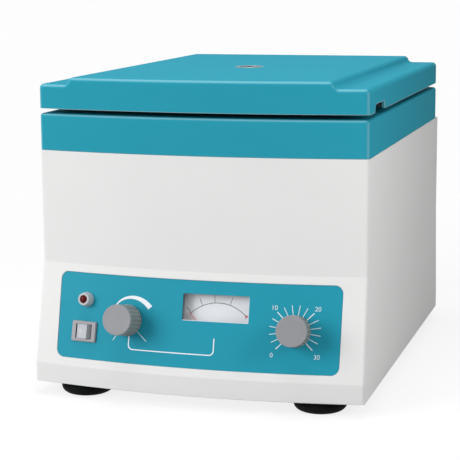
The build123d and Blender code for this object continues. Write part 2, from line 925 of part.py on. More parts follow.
def glass_slide(place):
    """Microscope slide lying on the cradle's floor."""
    with BuildPart() as slide:
        with BuildSketch(place.offset(-carrier_drop + bracket_sheet)):
            Rectangle(slide_width, slide_length)
        extrude(amount=slide_thickness)
    return slide.part


def sample_funnel(place):
    """Moulded sample chamber: a foot on the slide and a cup that opens upward."""
    foot_level = -carrier_drop + bracket_sheet + slide_thickness
    funnel_top = funnel_rise
    cone_level = -trunnion_radius
    with BuildPart() as funnel:
        with BuildSketch(place.offset(foot_level)):
            RectangleRounded(chamber_foot_width, chamber_foot_length, 2.0)
        extrude(amount=chamber_foot_height)
        with BuildSketch(place.offset(foot_level + chamber_foot_height)):
            Circle(funnel_radius)
        extrude(amount=cone_level - foot_level - chamber_foot_height)
        loft(
            [
                funnel_disc(place, cone_level, funnel_radius),
                funnel_disc(place, funnel_top, funnel_mouth_radius),
            ]
        )
        with BuildSketch(place.offset(foot_level)):
            Circle(cup_bore_radius)
        extrude(amount=cone_level - foot_level, mode=Mode.SUBTRACT)
        loft(
            [
                funnel_disc(place, cone_level, cup_bore_radius),
                funnel_disc(place, funnel_top, funnel_mouth_radius - funnel_wall),
            ],
            mode=Mode.SUBTRACT,
        )
    return funnel.part


def funnel_disc(place, level, radius):
    """Round section of the sample cup at one level."""
    with BuildSketch(place.offset(level)) as disc:
        Circle(radius)
    return disc.sketch


carriers = []
for number in range(carrier_places):
    turn = Location((0, chamber_y, pivot_height), (0, 0, 90 * number))
    pivot = Plane(turn * Location((pivot_radius, 0, 0)))
    carriers.append(pivot)
    save(bracket(pivot), f"carrier_bracket_{number + 1}")
    save(glass_slide(pivot), f"glass_slide_{number + 1}")
    save(sample_funnel(pivot), f"sample_funnel_{number + 1}")

# ---------------------------------------------------------------- lid
notch_y = front_corner_y + notch_setback
lid_crown_half = body_half - lid_crown_inset


def lid_section(inset):
    """Front view of the lid: square shoulders and a raised crown with S-curved steps."""
    half = body_width
    shoulder = lid_shoulder - inset
    crown = lid_top - inset
    crest = lid_crown_half - inset
    foot = crest + lid_step_width
    middle = (crest + foot) / 2
    level = (shoulder + crown) / 2
    with BuildSketch(Plane((0, body_mid_y, 0), x_dir=(1, 0, 0), z_dir=(0, -1, 0))) as section:
        with BuildLine():
            Line((-crest, crown), (crest, crown))
            for side in (-1, 1):
                TangentArc((side * crest, crown), (side * middle, level), tangent=(side, 0))
                TangentArc((side * foot, shoulder), (side * middle, level), tangent=(-side, 0))
                Polyline(
                    (side * foot, shoulder),
                    (side * half, shoulder),
                    (side * half, lid_bottom),
                )
            Line((-half, lid_bottom), (half, lid_bottom))
        make_face()
    return section.sketch


def lid_block(inset):
    """Solid lid shape, shrunk by inset, from the lid's lower edge to its top."""
    with BuildPart() as block:
        extrude(frame_plan(lid_bottom, inset), amount=lid_top - lid_bottom)
        extrude(lid_section(inset), amount=body_depth, both=True, mode=Mode.INTERSECT)
    return block.part


with BuildPart() as finger_notch:
    notch_side = Plane((body_half, notch_y, lid_bottom), x_dir=(0, 1, 0), z_dir=(1, 0, 0))
    with BuildSketch(notch_side.offset(-notch_depth)):
        with BuildLine():
            Polyline(
                (-notch_length / 2, 0),
                (notch_length / 2, 0),
                (notch_length / 2 - notch_taper, notch_height),
                (-notch_length / 2 + notch_taper, notch_height),
                (-notch_length / 2, 0),
            )
        make_face()
    extrude(amount=2 * notch_depth)

boss_spots = [
    (sx * (body_half - boss_inset), y)
    for sx in (-1, 1)
    for y in (front_corner_y + boss_inset, chamber_y, frame_rear_y - boss_inset)
]
with BuildPart() as lid:
    add(lid_block(0.0))
    # The top's outline is rounded; the ridges of the crown's steps, inside it, run front to back.
    lid_rim = lid.edges().filter_by(lambda e: e.center().Z > lid_shoulder - lid_edge_radius / 2)
    lid_outline = [
        e
        for e in lid_rim
        if abs(e.center().X) > body_half - lid_edge_radius or abs(e.tangent_at(0.5).Y) < 0.9
    ]
    fillet(lid_outline, lid_edge_radius)
    add(lid_block(lid_wall), mode=Mode.SUBTRACT)
    with BuildSketch(Plane.XY.offset(liner_top)):
        with Locations(*boss_spots):
            Circle(boss_radius)
    extrude(amount=lid_shoulder - lid_wall / 2 - liner_top)
    with BuildSketch(Plane((0, chamber_y, liner_top))):
        Circle(sight_tube_radius + seat_clearance)
    extrude(amount=lid_top - liner_top, mode=Mode.SUBTRACT)
    with BuildSketch(Plane((0, chamber_y, lid_top - sight_sink))):
        Circle(sight_rim_radius + seat_clearance)
    extrude(amount=2 * sight_sink, mode=Mode.SUBTRACT)
    add(finger_notch.part, mode=Mode.SUBTRACT)
save(lid.part, "lid")

with BuildPart() as lid_liner:
    extrude(frame_plan(liner_bottom, lid_wall + seat_clearance), amount=liner_thickness)
    add(finger_notch.part, mode=Mode.SUBTRACT)
    with BuildSketch(Plane((0, chamber_y, liner_bottom))):
        Circle(sight_tube_radius + seat_clearance)
    extrude(amount=liner_thickness, mode=Mode.SUBTRACT)
save(lid_liner.part, "lid_liner")

sight_top = lid_top - sight_sink + sight_rim_thickness
sight_glass_level = sight_top - sight_glass_depth - sight_glass_thickness
with BuildPart() as sight_bezel:
    with BuildSketch(Plane((0, chamber_y, liner_bottom))):
        Circle(sight_tube_radius)
    extrude(amount=sight_top - liner_bottom)
    with BuildSketch(Plane((0, chamber_y, lid_top - sight_sink))):
        Circle(sight_rim_radius)
    extrude(amount=sight_rim_thickness)
    chamfer(sight_bezel.faces().sort_by(Axis.Z)[-1].edges(), sight_rim_chamfer)
    with BuildSketch(Plane((0, chamber_y, liner_bottom))):
        Circle(sight_bore_radius - sight_glass_ledge)
    extrude(amount=sight_top - liner_bottom, mode=Mode.SUBTRACT)
    with BuildSketch(Plane((0, chamber_y, sight_glass_level))):
        Circle(sight_bore_radius + seat_clearance / 2)
    extrude(amount=sight_glass_depth + sight_glass_thickness, mode=Mode.SUBTRACT)
save(sight_bezel.part, "sight_bezel")

with BuildPart() as sight_glass:
    with BuildSketch(Plane((0, chamber_y, sight_glass_level))):
        Circle(sight_bore_radius)
    extrude(amount=sight_glass_thickness)
save(sight_glass.part, "sight_glass")

# ---------------------------------------------------------------- hinges
hinge_side = (hinge_width - hinge_middle) / 2 - hinge_side_gap
knuckle_spots = [
    sx * (hinge_middle / 2 + hinge_side_gap + hinge_side / 2) for sx in (-1, 1)
]


def hinge_section(x):
    """Plane across the hinge's axis at a given x, with its own x running rearward."""
    return Plane((x, hinge_y, hinge_z), x_dir=(0, 1, 0), z_dir=(1, 0, 0))


def knuckles(spots, width, sleeve):
    """Rolled hinge knuckles along both hinge axes, bored for the pins."""
    with BuildPart() as rolled:
        for centre in (-hinge_span, hinge_span):
            for x in spots:
                with BuildSketch(hinge_section(centre + x - width / 2)):
                    Circle(hinge_knuckle)
                    with Locations((-hinge_standoff / 2, sleeve * hinge_leaf_gap / 2)):
                        Rectangle(hinge_standoff, hinge_leaf_gap)
                    Circle(hinge_pin + running_clearance, mode=Mode.SUBTRACT)
                extrude(amount=width)
    return rolled.part


def leaf(bottom):
    """Flat leaves of both hinges, upward from bottom."""
    with BuildPart() as plate:
        leaf_mid = (0, frame_rear_y, bottom + hinge_leaf_height / 2)
        with BuildSketch(Plane(leaf_mid, x_dir=(-1, 0, 0), z_dir=(0, 1, 0))):
            with GridLocations(2 * hinge_span, 0, 2, 1):
                RectangleRounded(hinge_width, hinge_leaf_height, hinge_leaf_radius)
        extrude(amount=hinge_leaf)
    return plate.part


with BuildPart() as frame_hinges:
    add(leaf(hinge_z - hinge_leaf_gap - hinge_leaf_height))
    add(knuckles(knuckle_spots, hinge_side, -1))
save(frame_hinges.part, "frame_hinges")

with BuildPart() as lid_hinges:
    add(leaf(hinge_z + hinge_leaf_gap))
    add(knuckles([0.0], hinge_middle, 1))
save(lid_hinges.part, "lid_hinges")

with BuildPart() as hinge_pins:
    for centre in (-hinge_span, hinge_span):
        with BuildSketch(hinge_section(centre - hinge_width / 2 - hinge_pin_proud)):
            Circle(hinge_pin)
        extrude(amount=hinge_width + 2 * hinge_pin_proud)
save(hinge_pins.part, "hinge_pins")

# ---------------------------------------------------------------- knobs
def fluted_knob(place):
    """Knob body: a fluted barrel on a plain rim, with a socket over the bushing's nut."""
    with BuildPart() as knob:
        with BuildSketch(place.offset(knob_standoff)):
            Circle(knob_radius)
        extrude(amount=knob_rim)
        with BuildSketch(place.offset(knob_standoff + knob_rim)):
            Circle(knob_barrel_radius)
            with PolarLocations(knob_barrel_radius - flute_depth + flute_radius, knob_flutes):
                Circle(flute_radius, mode=Mode.SUBTRACT)
        extrude(amount=knob_length - knob_rim - cap_thickness)
        with BuildSketch(place.offset(knob_standoff)):
            Circle(knob_socket_radius)
        extrude(amount=knob_socket_depth, mode=Mode.SUBTRACT)
        with BuildSketch(place.offset(knob_standoff)):
            Circle(spindle_radius)
        extrude(amount=knob_bore_depth, mode=Mode.SUBTRACT)
    return knob.part


def knob_cap(place):
    """Plain cap that closes the knob's face, with a rounded edge."""
    with BuildPart() as cap:
        with BuildSketch(place.offset(knob_standoff + knob_length - cap_thickness)):
            Circle(cap_radius)
        extrude(amount=cap_thickness)
        fillet(cap.faces().sort_by(Axis(place.origin, place.z_dir))[-1].edges(), cap_edge)
    return cap.part


def spindle(place, root):
    """Turning spindle, from its root inside the control to the blind end of the knob's bore."""
    with BuildPart() as rod:
        with BuildSketch(place.offset(root)):
            Circle(spindle_radius)
        extrude(amount=knob_standoff + knob_bore_depth - root)
    return rod.part


def bushing(place, seat, depth):
    """Bushing from the control's seat through the wall, with its nut and the spindle's bore."""
    with BuildPart() as tube:
        with BuildSketch(place.offset(seat)):
            Circle(bushing_radius)
        extrude(amount=bushing_proud - seat)
        with BuildSketch(place):
            RegularPolygon(bushing_nut_radius, 6)
        extrude(amount=bushing_nut_height)
        with BuildSketch(place.offset(seat - depth)):
            Circle(spindle_radius + running_clearance)
        extrude(amount=depth + bushing_proud - seat, mode=Mode.SUBTRACT)
    return tube.part


def seat_behind(half):
    """Level of a flat-fronted control that clears the bowed wall across its half width."""
    return wall_back - soft_gap - bow(half)


pot_seat = seat_behind(pot_radius)
timer_seat = seat_behind(timer_case_size / 2)
with BuildPart() as speed_potentiometer:
    with BuildSketch(speed_plane.offset(pot_seat - pot_depth)):
        Circle(pot_radius)
        with Locations((0, -pot_radius)):
            Rectangle(pot_radius, pot_tab)
    extrude(amount=pot_depth)
    add(bushing(speed_plane, pot_seat, 0.0))
    with BuildSketch(speed_plane.offset(pot_seat - pot_depth / 2)):
        Circle(spindle_radius + running_clearance)
    extrude(amount=pot_depth, mode=Mode.SUBTRACT)
save(speed_potentiometer.part, "speed_potentiometer")

with BuildPart() as timer_movement:
    with BuildSketch(timer_plane.offset(timer_seat - timer_case_depth)):
        RectangleRounded(timer_case_size, timer_case_size, timer_case_radius)
    extrude(amount=timer_case_depth)
    add(bushing(timer_plane, timer_seat, 0.0))
    with BuildSketch(timer_plane.offset(timer_seat - timer_case_depth / 2)):
        Circle(spindle_radius + running_clearance)
    extrude(amount=timer_case_depth, mode=Mode.SUBTRACT)
save(timer_movement.part, "timer_movement")

for name, place, seat, depth in (
    ("speed", speed_plane, pot_seat, pot_depth),
    ("timer", timer_plane, timer_seat, timer_case_depth),
):
    save(fluted_knob(place), f"{name}_knob")
    save(knob_cap(place), f"{name}_knob_cap")
    save(spindle(place, seat - depth / 2 + soft_gap), f"{name}_spindle")

# ---------------------------------------------------------------- power switch
rocker_pivot = switch_plane.offset(-rocker_pivot_depth)
with BuildPart() as switch_body:
    with BuildSketch(switch_plane):
        RectangleRounded(switch_width, switch_height, switch_corner_radius)
    extrude(amount=switch_flange)
    switch_face = switch_body.faces().sort_by(Axis(switch_plane.origin, switch_plane.z_dir))[-1]
    chamfer(switch_face.edges(), switch_bevel)
    with BuildSketch(switch_plane.offset(-switch_body_depth)):
        Rectangle(switch_body_width, switch_body_height)
    extrude(amount=switch_body_depth)
    with BuildSketch(switch_plane.offset(-rocker_pivot_depth - rocker_root - rocker_root_gap)):
        Rectangle(rocker_opening_width, rocker_opening_height)
    extrude(amount=switch_body_depth, mode=Mode.SUBTRACT)
    with BuildSketch(switch_plane.offset(-switch_body_depth)):
        with GridLocations(switch_body_width / 2, 0, terminal_count, 1):
            Rectangle(terminal_thickness, terminal_width)
    extrude(amount=-terminal_length)
    pin_face = Plane(rocker_pivot.origin, x_dir=rocker_pivot.x_dir, z_dir=rocker_pivot.y_dir)
    with BuildSketch(pin_face.offset(-rocker_opening_height / 2 - rocker_pin_reach)):
        Circle(rocker_pin_radius + running_clearance)
    extrude(amount=rocker_opening_height + 2 * rocker_pin_reach, mode=Mode.SUBTRACT)
save(switch_body.part, "switch_body")

with BuildPart() as rocker:
    # The profile lies across the pivot, tipped so that the off end is pressed in.
    tipped = Plane(
        rocker_pivot.origin,
        x_dir=rocker_pivot.x_dir.rotate(Axis((0, 0, 0), rocker_pivot.y_dir), -rocker_tilt),
        z_dir=-rocker_pivot.y_dir,
    )
    rocker_half = rocker_opening_height / 2 - rocker_gap
    with BuildSketch(tipped.offset(-rocker_half)):
        with BuildLine():
            ThreePointArc(
                (-rocker_crest_half, rocker_crest),
                (0, rocker_valley),
                (rocker_crest_half, rocker_crest),
            )
            Polyline(
                (rocker_crest_half, rocker_crest),
                (rocker_waist_half, rocker_waist),
                (rocker_skirt_half, rocker_skirt),
                (rocker_root, -rocker_root),
                (-rocker_root, -rocker_root),
                (-rocker_skirt_half, rocker_skirt),
                (-rocker_waist_half, rocker_waist),
                (-rocker_crest_half, rocker_crest),
            )
        make_face()
    extrude(amount=2 * rocker_half)
    with BuildSketch(tipped.offset(-rocker_half - rocker_pin_reach)):
        Circle(rocker_pin_radius)
    extrude(amount=2 * (rocker_half + rocker_pin_reach))
save(rocker.part, "rocker")

# ---------------------------------------------------------------- pilot lamp
with BuildPart() as lamp_bezel:
    with BuildSketch(lamp_plane):
        Circle(lamp_radius)
    with BuildSketch(lamp_plane.offset(lamp_length)):
        Circle(lamp_face_radius)
    loft()
    lamp_face = lamp_bezel.faces().sort_by(Axis(lamp_plane.origin, lamp_plane.z_dir))[-1]
    fillet(lamp_face.edges(), lamp_edge_radius)
    with BuildSketch(lamp_plane.offset(-lamp_body_depth)):
        Circle(lamp_body_radius)
    extrude(amount=lamp_body_depth)
    with BuildSketch(lamp_plane.offset(lamp_lens_seat)):
        Circle(lamp_lens_radius)
    extrude(amount=lamp_length, mode=Mode.SUBTRACT)
save(lamp_bezel.part, "lamp_bezel")

with BuildPart() as lamp_lens:
    lens_section = Plane(lamp_plane.origin, x_dir=lamp_plane.x_dir, z_dir=-lamp_plane.y_dir)
    dome_foot = lamp_length - soft_gap
    dome_top = dome_foot + lamp_lens_rise
    dome_radius = (lamp_lens_radius**2 + lamp_lens_rise**2) / (2 * lamp_lens_rise)
    with BuildSketch(lens_section):
        with BuildLine():
            Polyline(
                (0, dome_top),
                (0, lamp_lens_seat),
                (lamp_lens_radius, lamp_lens_seat),
                (lamp_lens_radius, dome_foot),
            )
            RadiusArc((lamp_lens_radius, dome_foot), (0, dome_top), -dome_radius)
        make_face()
    revolve(axis=Axis(lamp_plane.origin, lamp_plane.z_dir))
save(lamp_lens.part, "lamp_lens")

# ---------------------------------------------------------------- speed meter
case_front = wall_back - meter_case_gap
meter_case_width = meter_width + 2 * meter_case_margin
meter_case_bottom = needle_pivot_drop + needle_tail + needle_tail_gap + meter_case_wall
case_mid_y = (meter_case_top - meter_case_bottom) / 2
case_tall = meter_case_top + meter_case_bottom
case_bore_width = meter_case_width - 2 * meter_case_wall
case_bore_tall = case_tall - 2 * meter_case_wall
dial_level = -dial_depth
with BuildPart() as meter_case:
    with BuildSketch(meter_plane.offset(case_front - meter_case_depth)):
        with Locations((0, case_mid_y)):
            RectangleRounded(meter_case_width, case_tall, meter_case_radius)
    extrude(amount=meter_case_depth)
    with BuildSketch(meter_plane.offset(case_front - meter_case_depth + meter_case_wall)):
        with Locations((0, case_mid_y)):
            Rectangle(case_bore_width, case_bore_tall)
    extrude(amount=meter_case_depth - 2 * meter_case_wall, mode=Mode.SUBTRACT)
    with BuildSketch(meter_plane.offset(case_front - 2 * meter_case_wall)):
        RectangleRounded(meter_width, meter_height, meter_window_radius)
    extrude(amount=3 * meter_case_wall, mode=Mode.SUBTRACT)
    # Post that carries the dial and the needle's pivot.
    with BuildSketch(meter_plane.offset(case_front - meter_case_depth)):
        with Locations((0, -needle_pivot_drop)):
            Circle(2 * needle_hub_radius)
    extrude(amount=dial_level - dial_thickness - case_front + meter_case_depth)
    with BuildSketch(meter_plane.offset(dial_level - dial_thickness)):
        with Locations((0, -needle_pivot_drop)):
            Circle(needle_pin_radius)
    extrude(amount=dial_thickness + needle_height + 2 * needle_thickness)
save(meter_case.part, "meter_case")

with BuildPart() as meter_dial:
    with BuildSketch(meter_plane.offset(dial_level - dial_thickness)):
        with Locations((0, case_mid_y)):
            Rectangle(case_bore_width - 2 * meter_fit_gap, case_bore_tall - 2 * meter_fit_gap)
        with Locations((0, -needle_pivot_drop)):
            Circle(needle_pin_radius + seat_clearance, mode=Mode.SUBTRACT)
    extrude(amount=dial_thickness)
save(meter_dial.part, "meter_dial")

with BuildPart() as meter_window:
    with BuildSketch(meter_plane.offset(-meter_glass_depth - meter_glass_thickness)):
        with Locations((0, case_mid_y)):
            Rectangle(case_bore_width - meter_fit_gap, case_bore_tall - meter_fit_gap)
    extrude(amount=meter_glass_thickness)
save(meter_window.part, "meter_window")

needle_plane = Plane(
    meter_plane.from_local_coords(Vector(0, -needle_pivot_drop, dial_level + needle_height)),
    x_dir=meter_plane.x_dir,
    z_dir=meter_plane.z_dir,
)
with BuildPart() as meter_needle:
    with BuildSketch(needle_plane):
        with Locations(Location((0, 0), 90 + needle_swing / 2)):
            with Locations(((needle_length - needle_tail) / 2, 0)):
                Rectangle(needle_length + needle_tail, needle_width)
        Circle(needle_hub_radius)
        Circle(needle_pin_radius + running_clearance, mode=Mode.SUBTRACT)
    extrude(amount=needle_thickness)
save(meter_needle.part, "meter_needle")

# ---------------------------------------------------------------- electronics
board_z = base_top + board_post_height
with BuildPart() as control_board:
    with BuildSketch(Plane((0, board_y, board_z))):
        Rectangle(board_width, board_depth)
    extrude(amount=board_thickness)
    with BuildSketch(Plane((0, board_y, board_z + board_thickness))):
        with Locations((-component_x, -component_y)):
            Rectangle(relay_width, relay_depth)
    extrude(amount=relay_height)
    with BuildSketch(Plane((0, board_y, board_z + board_thickness))):
        with Locations((component_x, -component_y), (component_x, component_y)):
            Circle(capacitor_radius)
    extrude(amount=capacitor_height)
save(control_board.part, "control_board")

with BuildPart() as heat_sink:
    sink_corner = (
        -sink_length / 2 - sink_offset,
        board_y + board_depth / 2 - sink_depth / 2 - sink_edge_gap,
        board_z + board_thickness,
    )
    with BuildSketch(Plane(sink_corner, x_dir=(0, 1, 0), z_dir=(1, 0, 0))):
        with Locations((0, sink_base / 2)):
            Rectangle(sink_depth, sink_base)
        with GridLocations((sink_depth - sink_fin) / (sink_fins - 1), 0, sink_fins, 1):
            with Locations((0, sink_height / 2)):
                Rectangle(sink_fin, sink_height)
    extrude(amount=sink_length)
save(heat_sink.part, "heat_sink")

with BuildPart() as reed_switch:
    with BuildSketch(Plane((0, reed_y, deck_bottom - reed_height))):
        RectangleRounded(reed_width, reed_depth, reed_radius)
    extrude(amount=reed_height)
save(reed_switch.part, "reed_switch")

with BuildPart() as lid_magnet:
    with BuildSketch(Plane((0, reed_y, liner_top))):
        Circle(magnet_radius)
    extrude(amount=magnet_height)
save(lid_magnet.part, "lid_magnet")

# ---------------------------------------------------------------- rear inlet
inlet_plane = Plane(origin=(inlet_x, rear_y, inlet_height), x_dir=(-1, 0, 0), z_dir=(0, 1, 0))
with BuildPart() as power_inlet:
    with BuildSketch(inlet_plane):
        RectangleRounded(inlet_width, inlet_tall, inlet_corner_radius)
    extrude(amount=inlet_flange)
    with BuildSketch(inlet_plane):
        Rectangle(inlet_width - 2 * inlet_rim_side, inlet_tall - 2 * inlet_rim_end)
    extrude(amount=-inlet_body_depth)
    with BuildSketch(inlet_plane.offset(inlet_flange - socket_depth)):
        with Locations((0, -socket_offset)):
            Rectangle(socket_width, socket_tall)
    extrude(amount=socket_depth, mode=Mode.SUBTRACT)
    with BuildSketch(inlet_plane.offset(inlet_flange - fuse_depth)):
        with Locations((0, fuse_offset)):
            Rectangle(fuse_width + 2 * fuse_gap, fuse_tall + 2 * fuse_gap)
    extrude(amount=fuse_depth, mode=Mode.SUBTRACT)
    with BuildSketch(inlet_plane.offset(inlet_flange - socket_depth)):
        with Locations(
            (-blade_pitch / 2, -socket_offset - blade_rise / 2),
            (blade_pitch / 2, -socket_offset - blade_rise / 2),
            (0, -socket_offset + blade_rise / 2),
        ):
            Rectangle(blade_thickness, blade_width)
    extrude(amount=blade_length)
save(power_inlet.part, "power_inlet")

with BuildPart() as fuse_drawer:
    with BuildSketch(inlet_plane.offset(inlet_flange - fuse_depth)):
        with Locations((0, fuse_offset)):
            Rectangle(fuse_width, fuse_tall)
    extrude(amount=fuse_depth + fuse_proud)
save(fuse_drawer.part, "fuse_drawer")
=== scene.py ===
"""Looks of a bench cytocentrifuge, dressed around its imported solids.

The solids carry the shape and the motion. This script gives every node the finish of its real
material, adds the printed scales, screws, cards and springs that ride with them, and sets the
camera, lights and floor. All lengths in the dataclasses are millimetres unless a name says
otherwise; meshes are in metres, in the frame of the solids.
"""

import logging
import math
from dataclasses import dataclass, field
from enum import Enum
from typing import Any, Sequence

import bpy
import numpy as np
from mathutils import Matrix, Vector

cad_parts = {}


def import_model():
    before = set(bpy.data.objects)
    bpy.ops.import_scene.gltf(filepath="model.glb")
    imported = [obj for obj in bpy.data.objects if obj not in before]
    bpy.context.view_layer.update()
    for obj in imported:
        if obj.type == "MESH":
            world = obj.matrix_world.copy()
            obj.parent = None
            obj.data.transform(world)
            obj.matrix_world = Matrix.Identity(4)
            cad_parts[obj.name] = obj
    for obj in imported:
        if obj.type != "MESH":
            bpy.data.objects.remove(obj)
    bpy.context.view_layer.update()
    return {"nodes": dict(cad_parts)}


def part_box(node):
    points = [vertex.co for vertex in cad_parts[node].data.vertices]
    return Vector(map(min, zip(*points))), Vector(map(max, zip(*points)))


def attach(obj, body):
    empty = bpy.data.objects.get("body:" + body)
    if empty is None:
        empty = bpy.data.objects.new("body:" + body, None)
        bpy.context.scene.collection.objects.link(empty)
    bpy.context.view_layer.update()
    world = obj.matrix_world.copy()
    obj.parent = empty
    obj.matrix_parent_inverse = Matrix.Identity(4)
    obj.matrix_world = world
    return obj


log = logging.getLogger("cytocentrifuge")
MM = 0.001
FULL_TURN = 2 * math.pi
UP = (0.0, 0.0, 1.0)
DOWN = (0.0, 0.0, -1.0)
BACK = (0.0, 1.0, 0.0)
HANDS = ((-1, "left"), (1, "right"))

Array = np.ndarray
Faces = list[list[int]]
# Vertices, one row each, and faces that run counter-clockwise from outside.
Mesh = tuple[Array, Faces]
Point = Sequence[float]
Tree = bpy.types.NodeTree
Socket = bpy.types.NodeSocket


# ------------------------------------------------------------------ colour and nodes
def linear(code: str) -> tuple[float, ...]:
    """Turns an sRGB hex colour into linear RGBA.

    Args:
        code: colour such as "#2f9cb4".

    Returns:
        Linear red, green, blue and an alpha of 1.
    """
    srgb = np.array([int(code[i : i + 2], 16) / 255 for i in (1, 3, 5)])
    rgb = np.where(srgb <= 0.04045, srgb / 12.92, ((srgb + 0.055) / 1.055) ** 2.4)
    return (*rgb.tolist(), 1.0)


def empty_tree(owner: bpy.types.Material | bpy.types.World) -> Tree:
    """Turns on the nodes of a material or world and returns its emptied tree."""
    owner.use_nodes = True
    owner.node_tree.nodes.clear()
    return owner.node_tree


def add_node(
    tree: Tree, kind: str, inputs: dict[Any, Any], output: str = "", **settings: Any
) -> Any:
    """Adds one node with its settings, and links or sets its inputs.

    Args:
        tree: node tree that takes the node.
        kind: Blender's class name of the node, after "ShaderNode".
        inputs: socket name or number to a constant, or to the output socket that feeds it.
        output: name of the output to hand back.
        **settings: attributes of the node itself.

    Returns:
        The named output, or all outputs where no name is given.
    """
    node = tree.nodes.new("ShaderNode" + kind)
    for key, value in settings.items():
        setattr(node, key, value)
    for key, value in inputs.items():
        if isinstance(value, Socket):
            tree.links.new(value, node.inputs[key])
        else:
            node.inputs[key].default_value = value
    return node.outputs[output] if output else node.outputs


class Grain(Enum):
    """How a finish's fine relief is laid."""

    EVEN = "even"
    BRUSHED_ROUND = "brushed round the chamber's axis"
    BRUSHED_X = "brushed from side to side"
    PITTED = "pitted"


@dataclass(frozen=True)
class Wear:
    """Painted highlight or shade: a tint laid where a marking value goes from start to full."""

    start: float
    full: float
    tint: str


# Painted light: a pale tint for highlights on edges and on rounds, a dark tint for shade in tight
# gaps, and how strongly that shade is laid.
EDGE_HIGHLIGHT = Wear(0.995, 0.82, "#f4fafb")
ROUND_HIGHLIGHT = Wear(0.32, 0.49, "#b9e4ec")
GAP_SHADE = Wear(0.6, 0.2, "#1b1c1e")
GAP_SHADE_SHARE = 0.85
CORNER_SHARE = 0.88
LEAST_ROUGHNESS = 0.02
BELT_STRETCH = 30


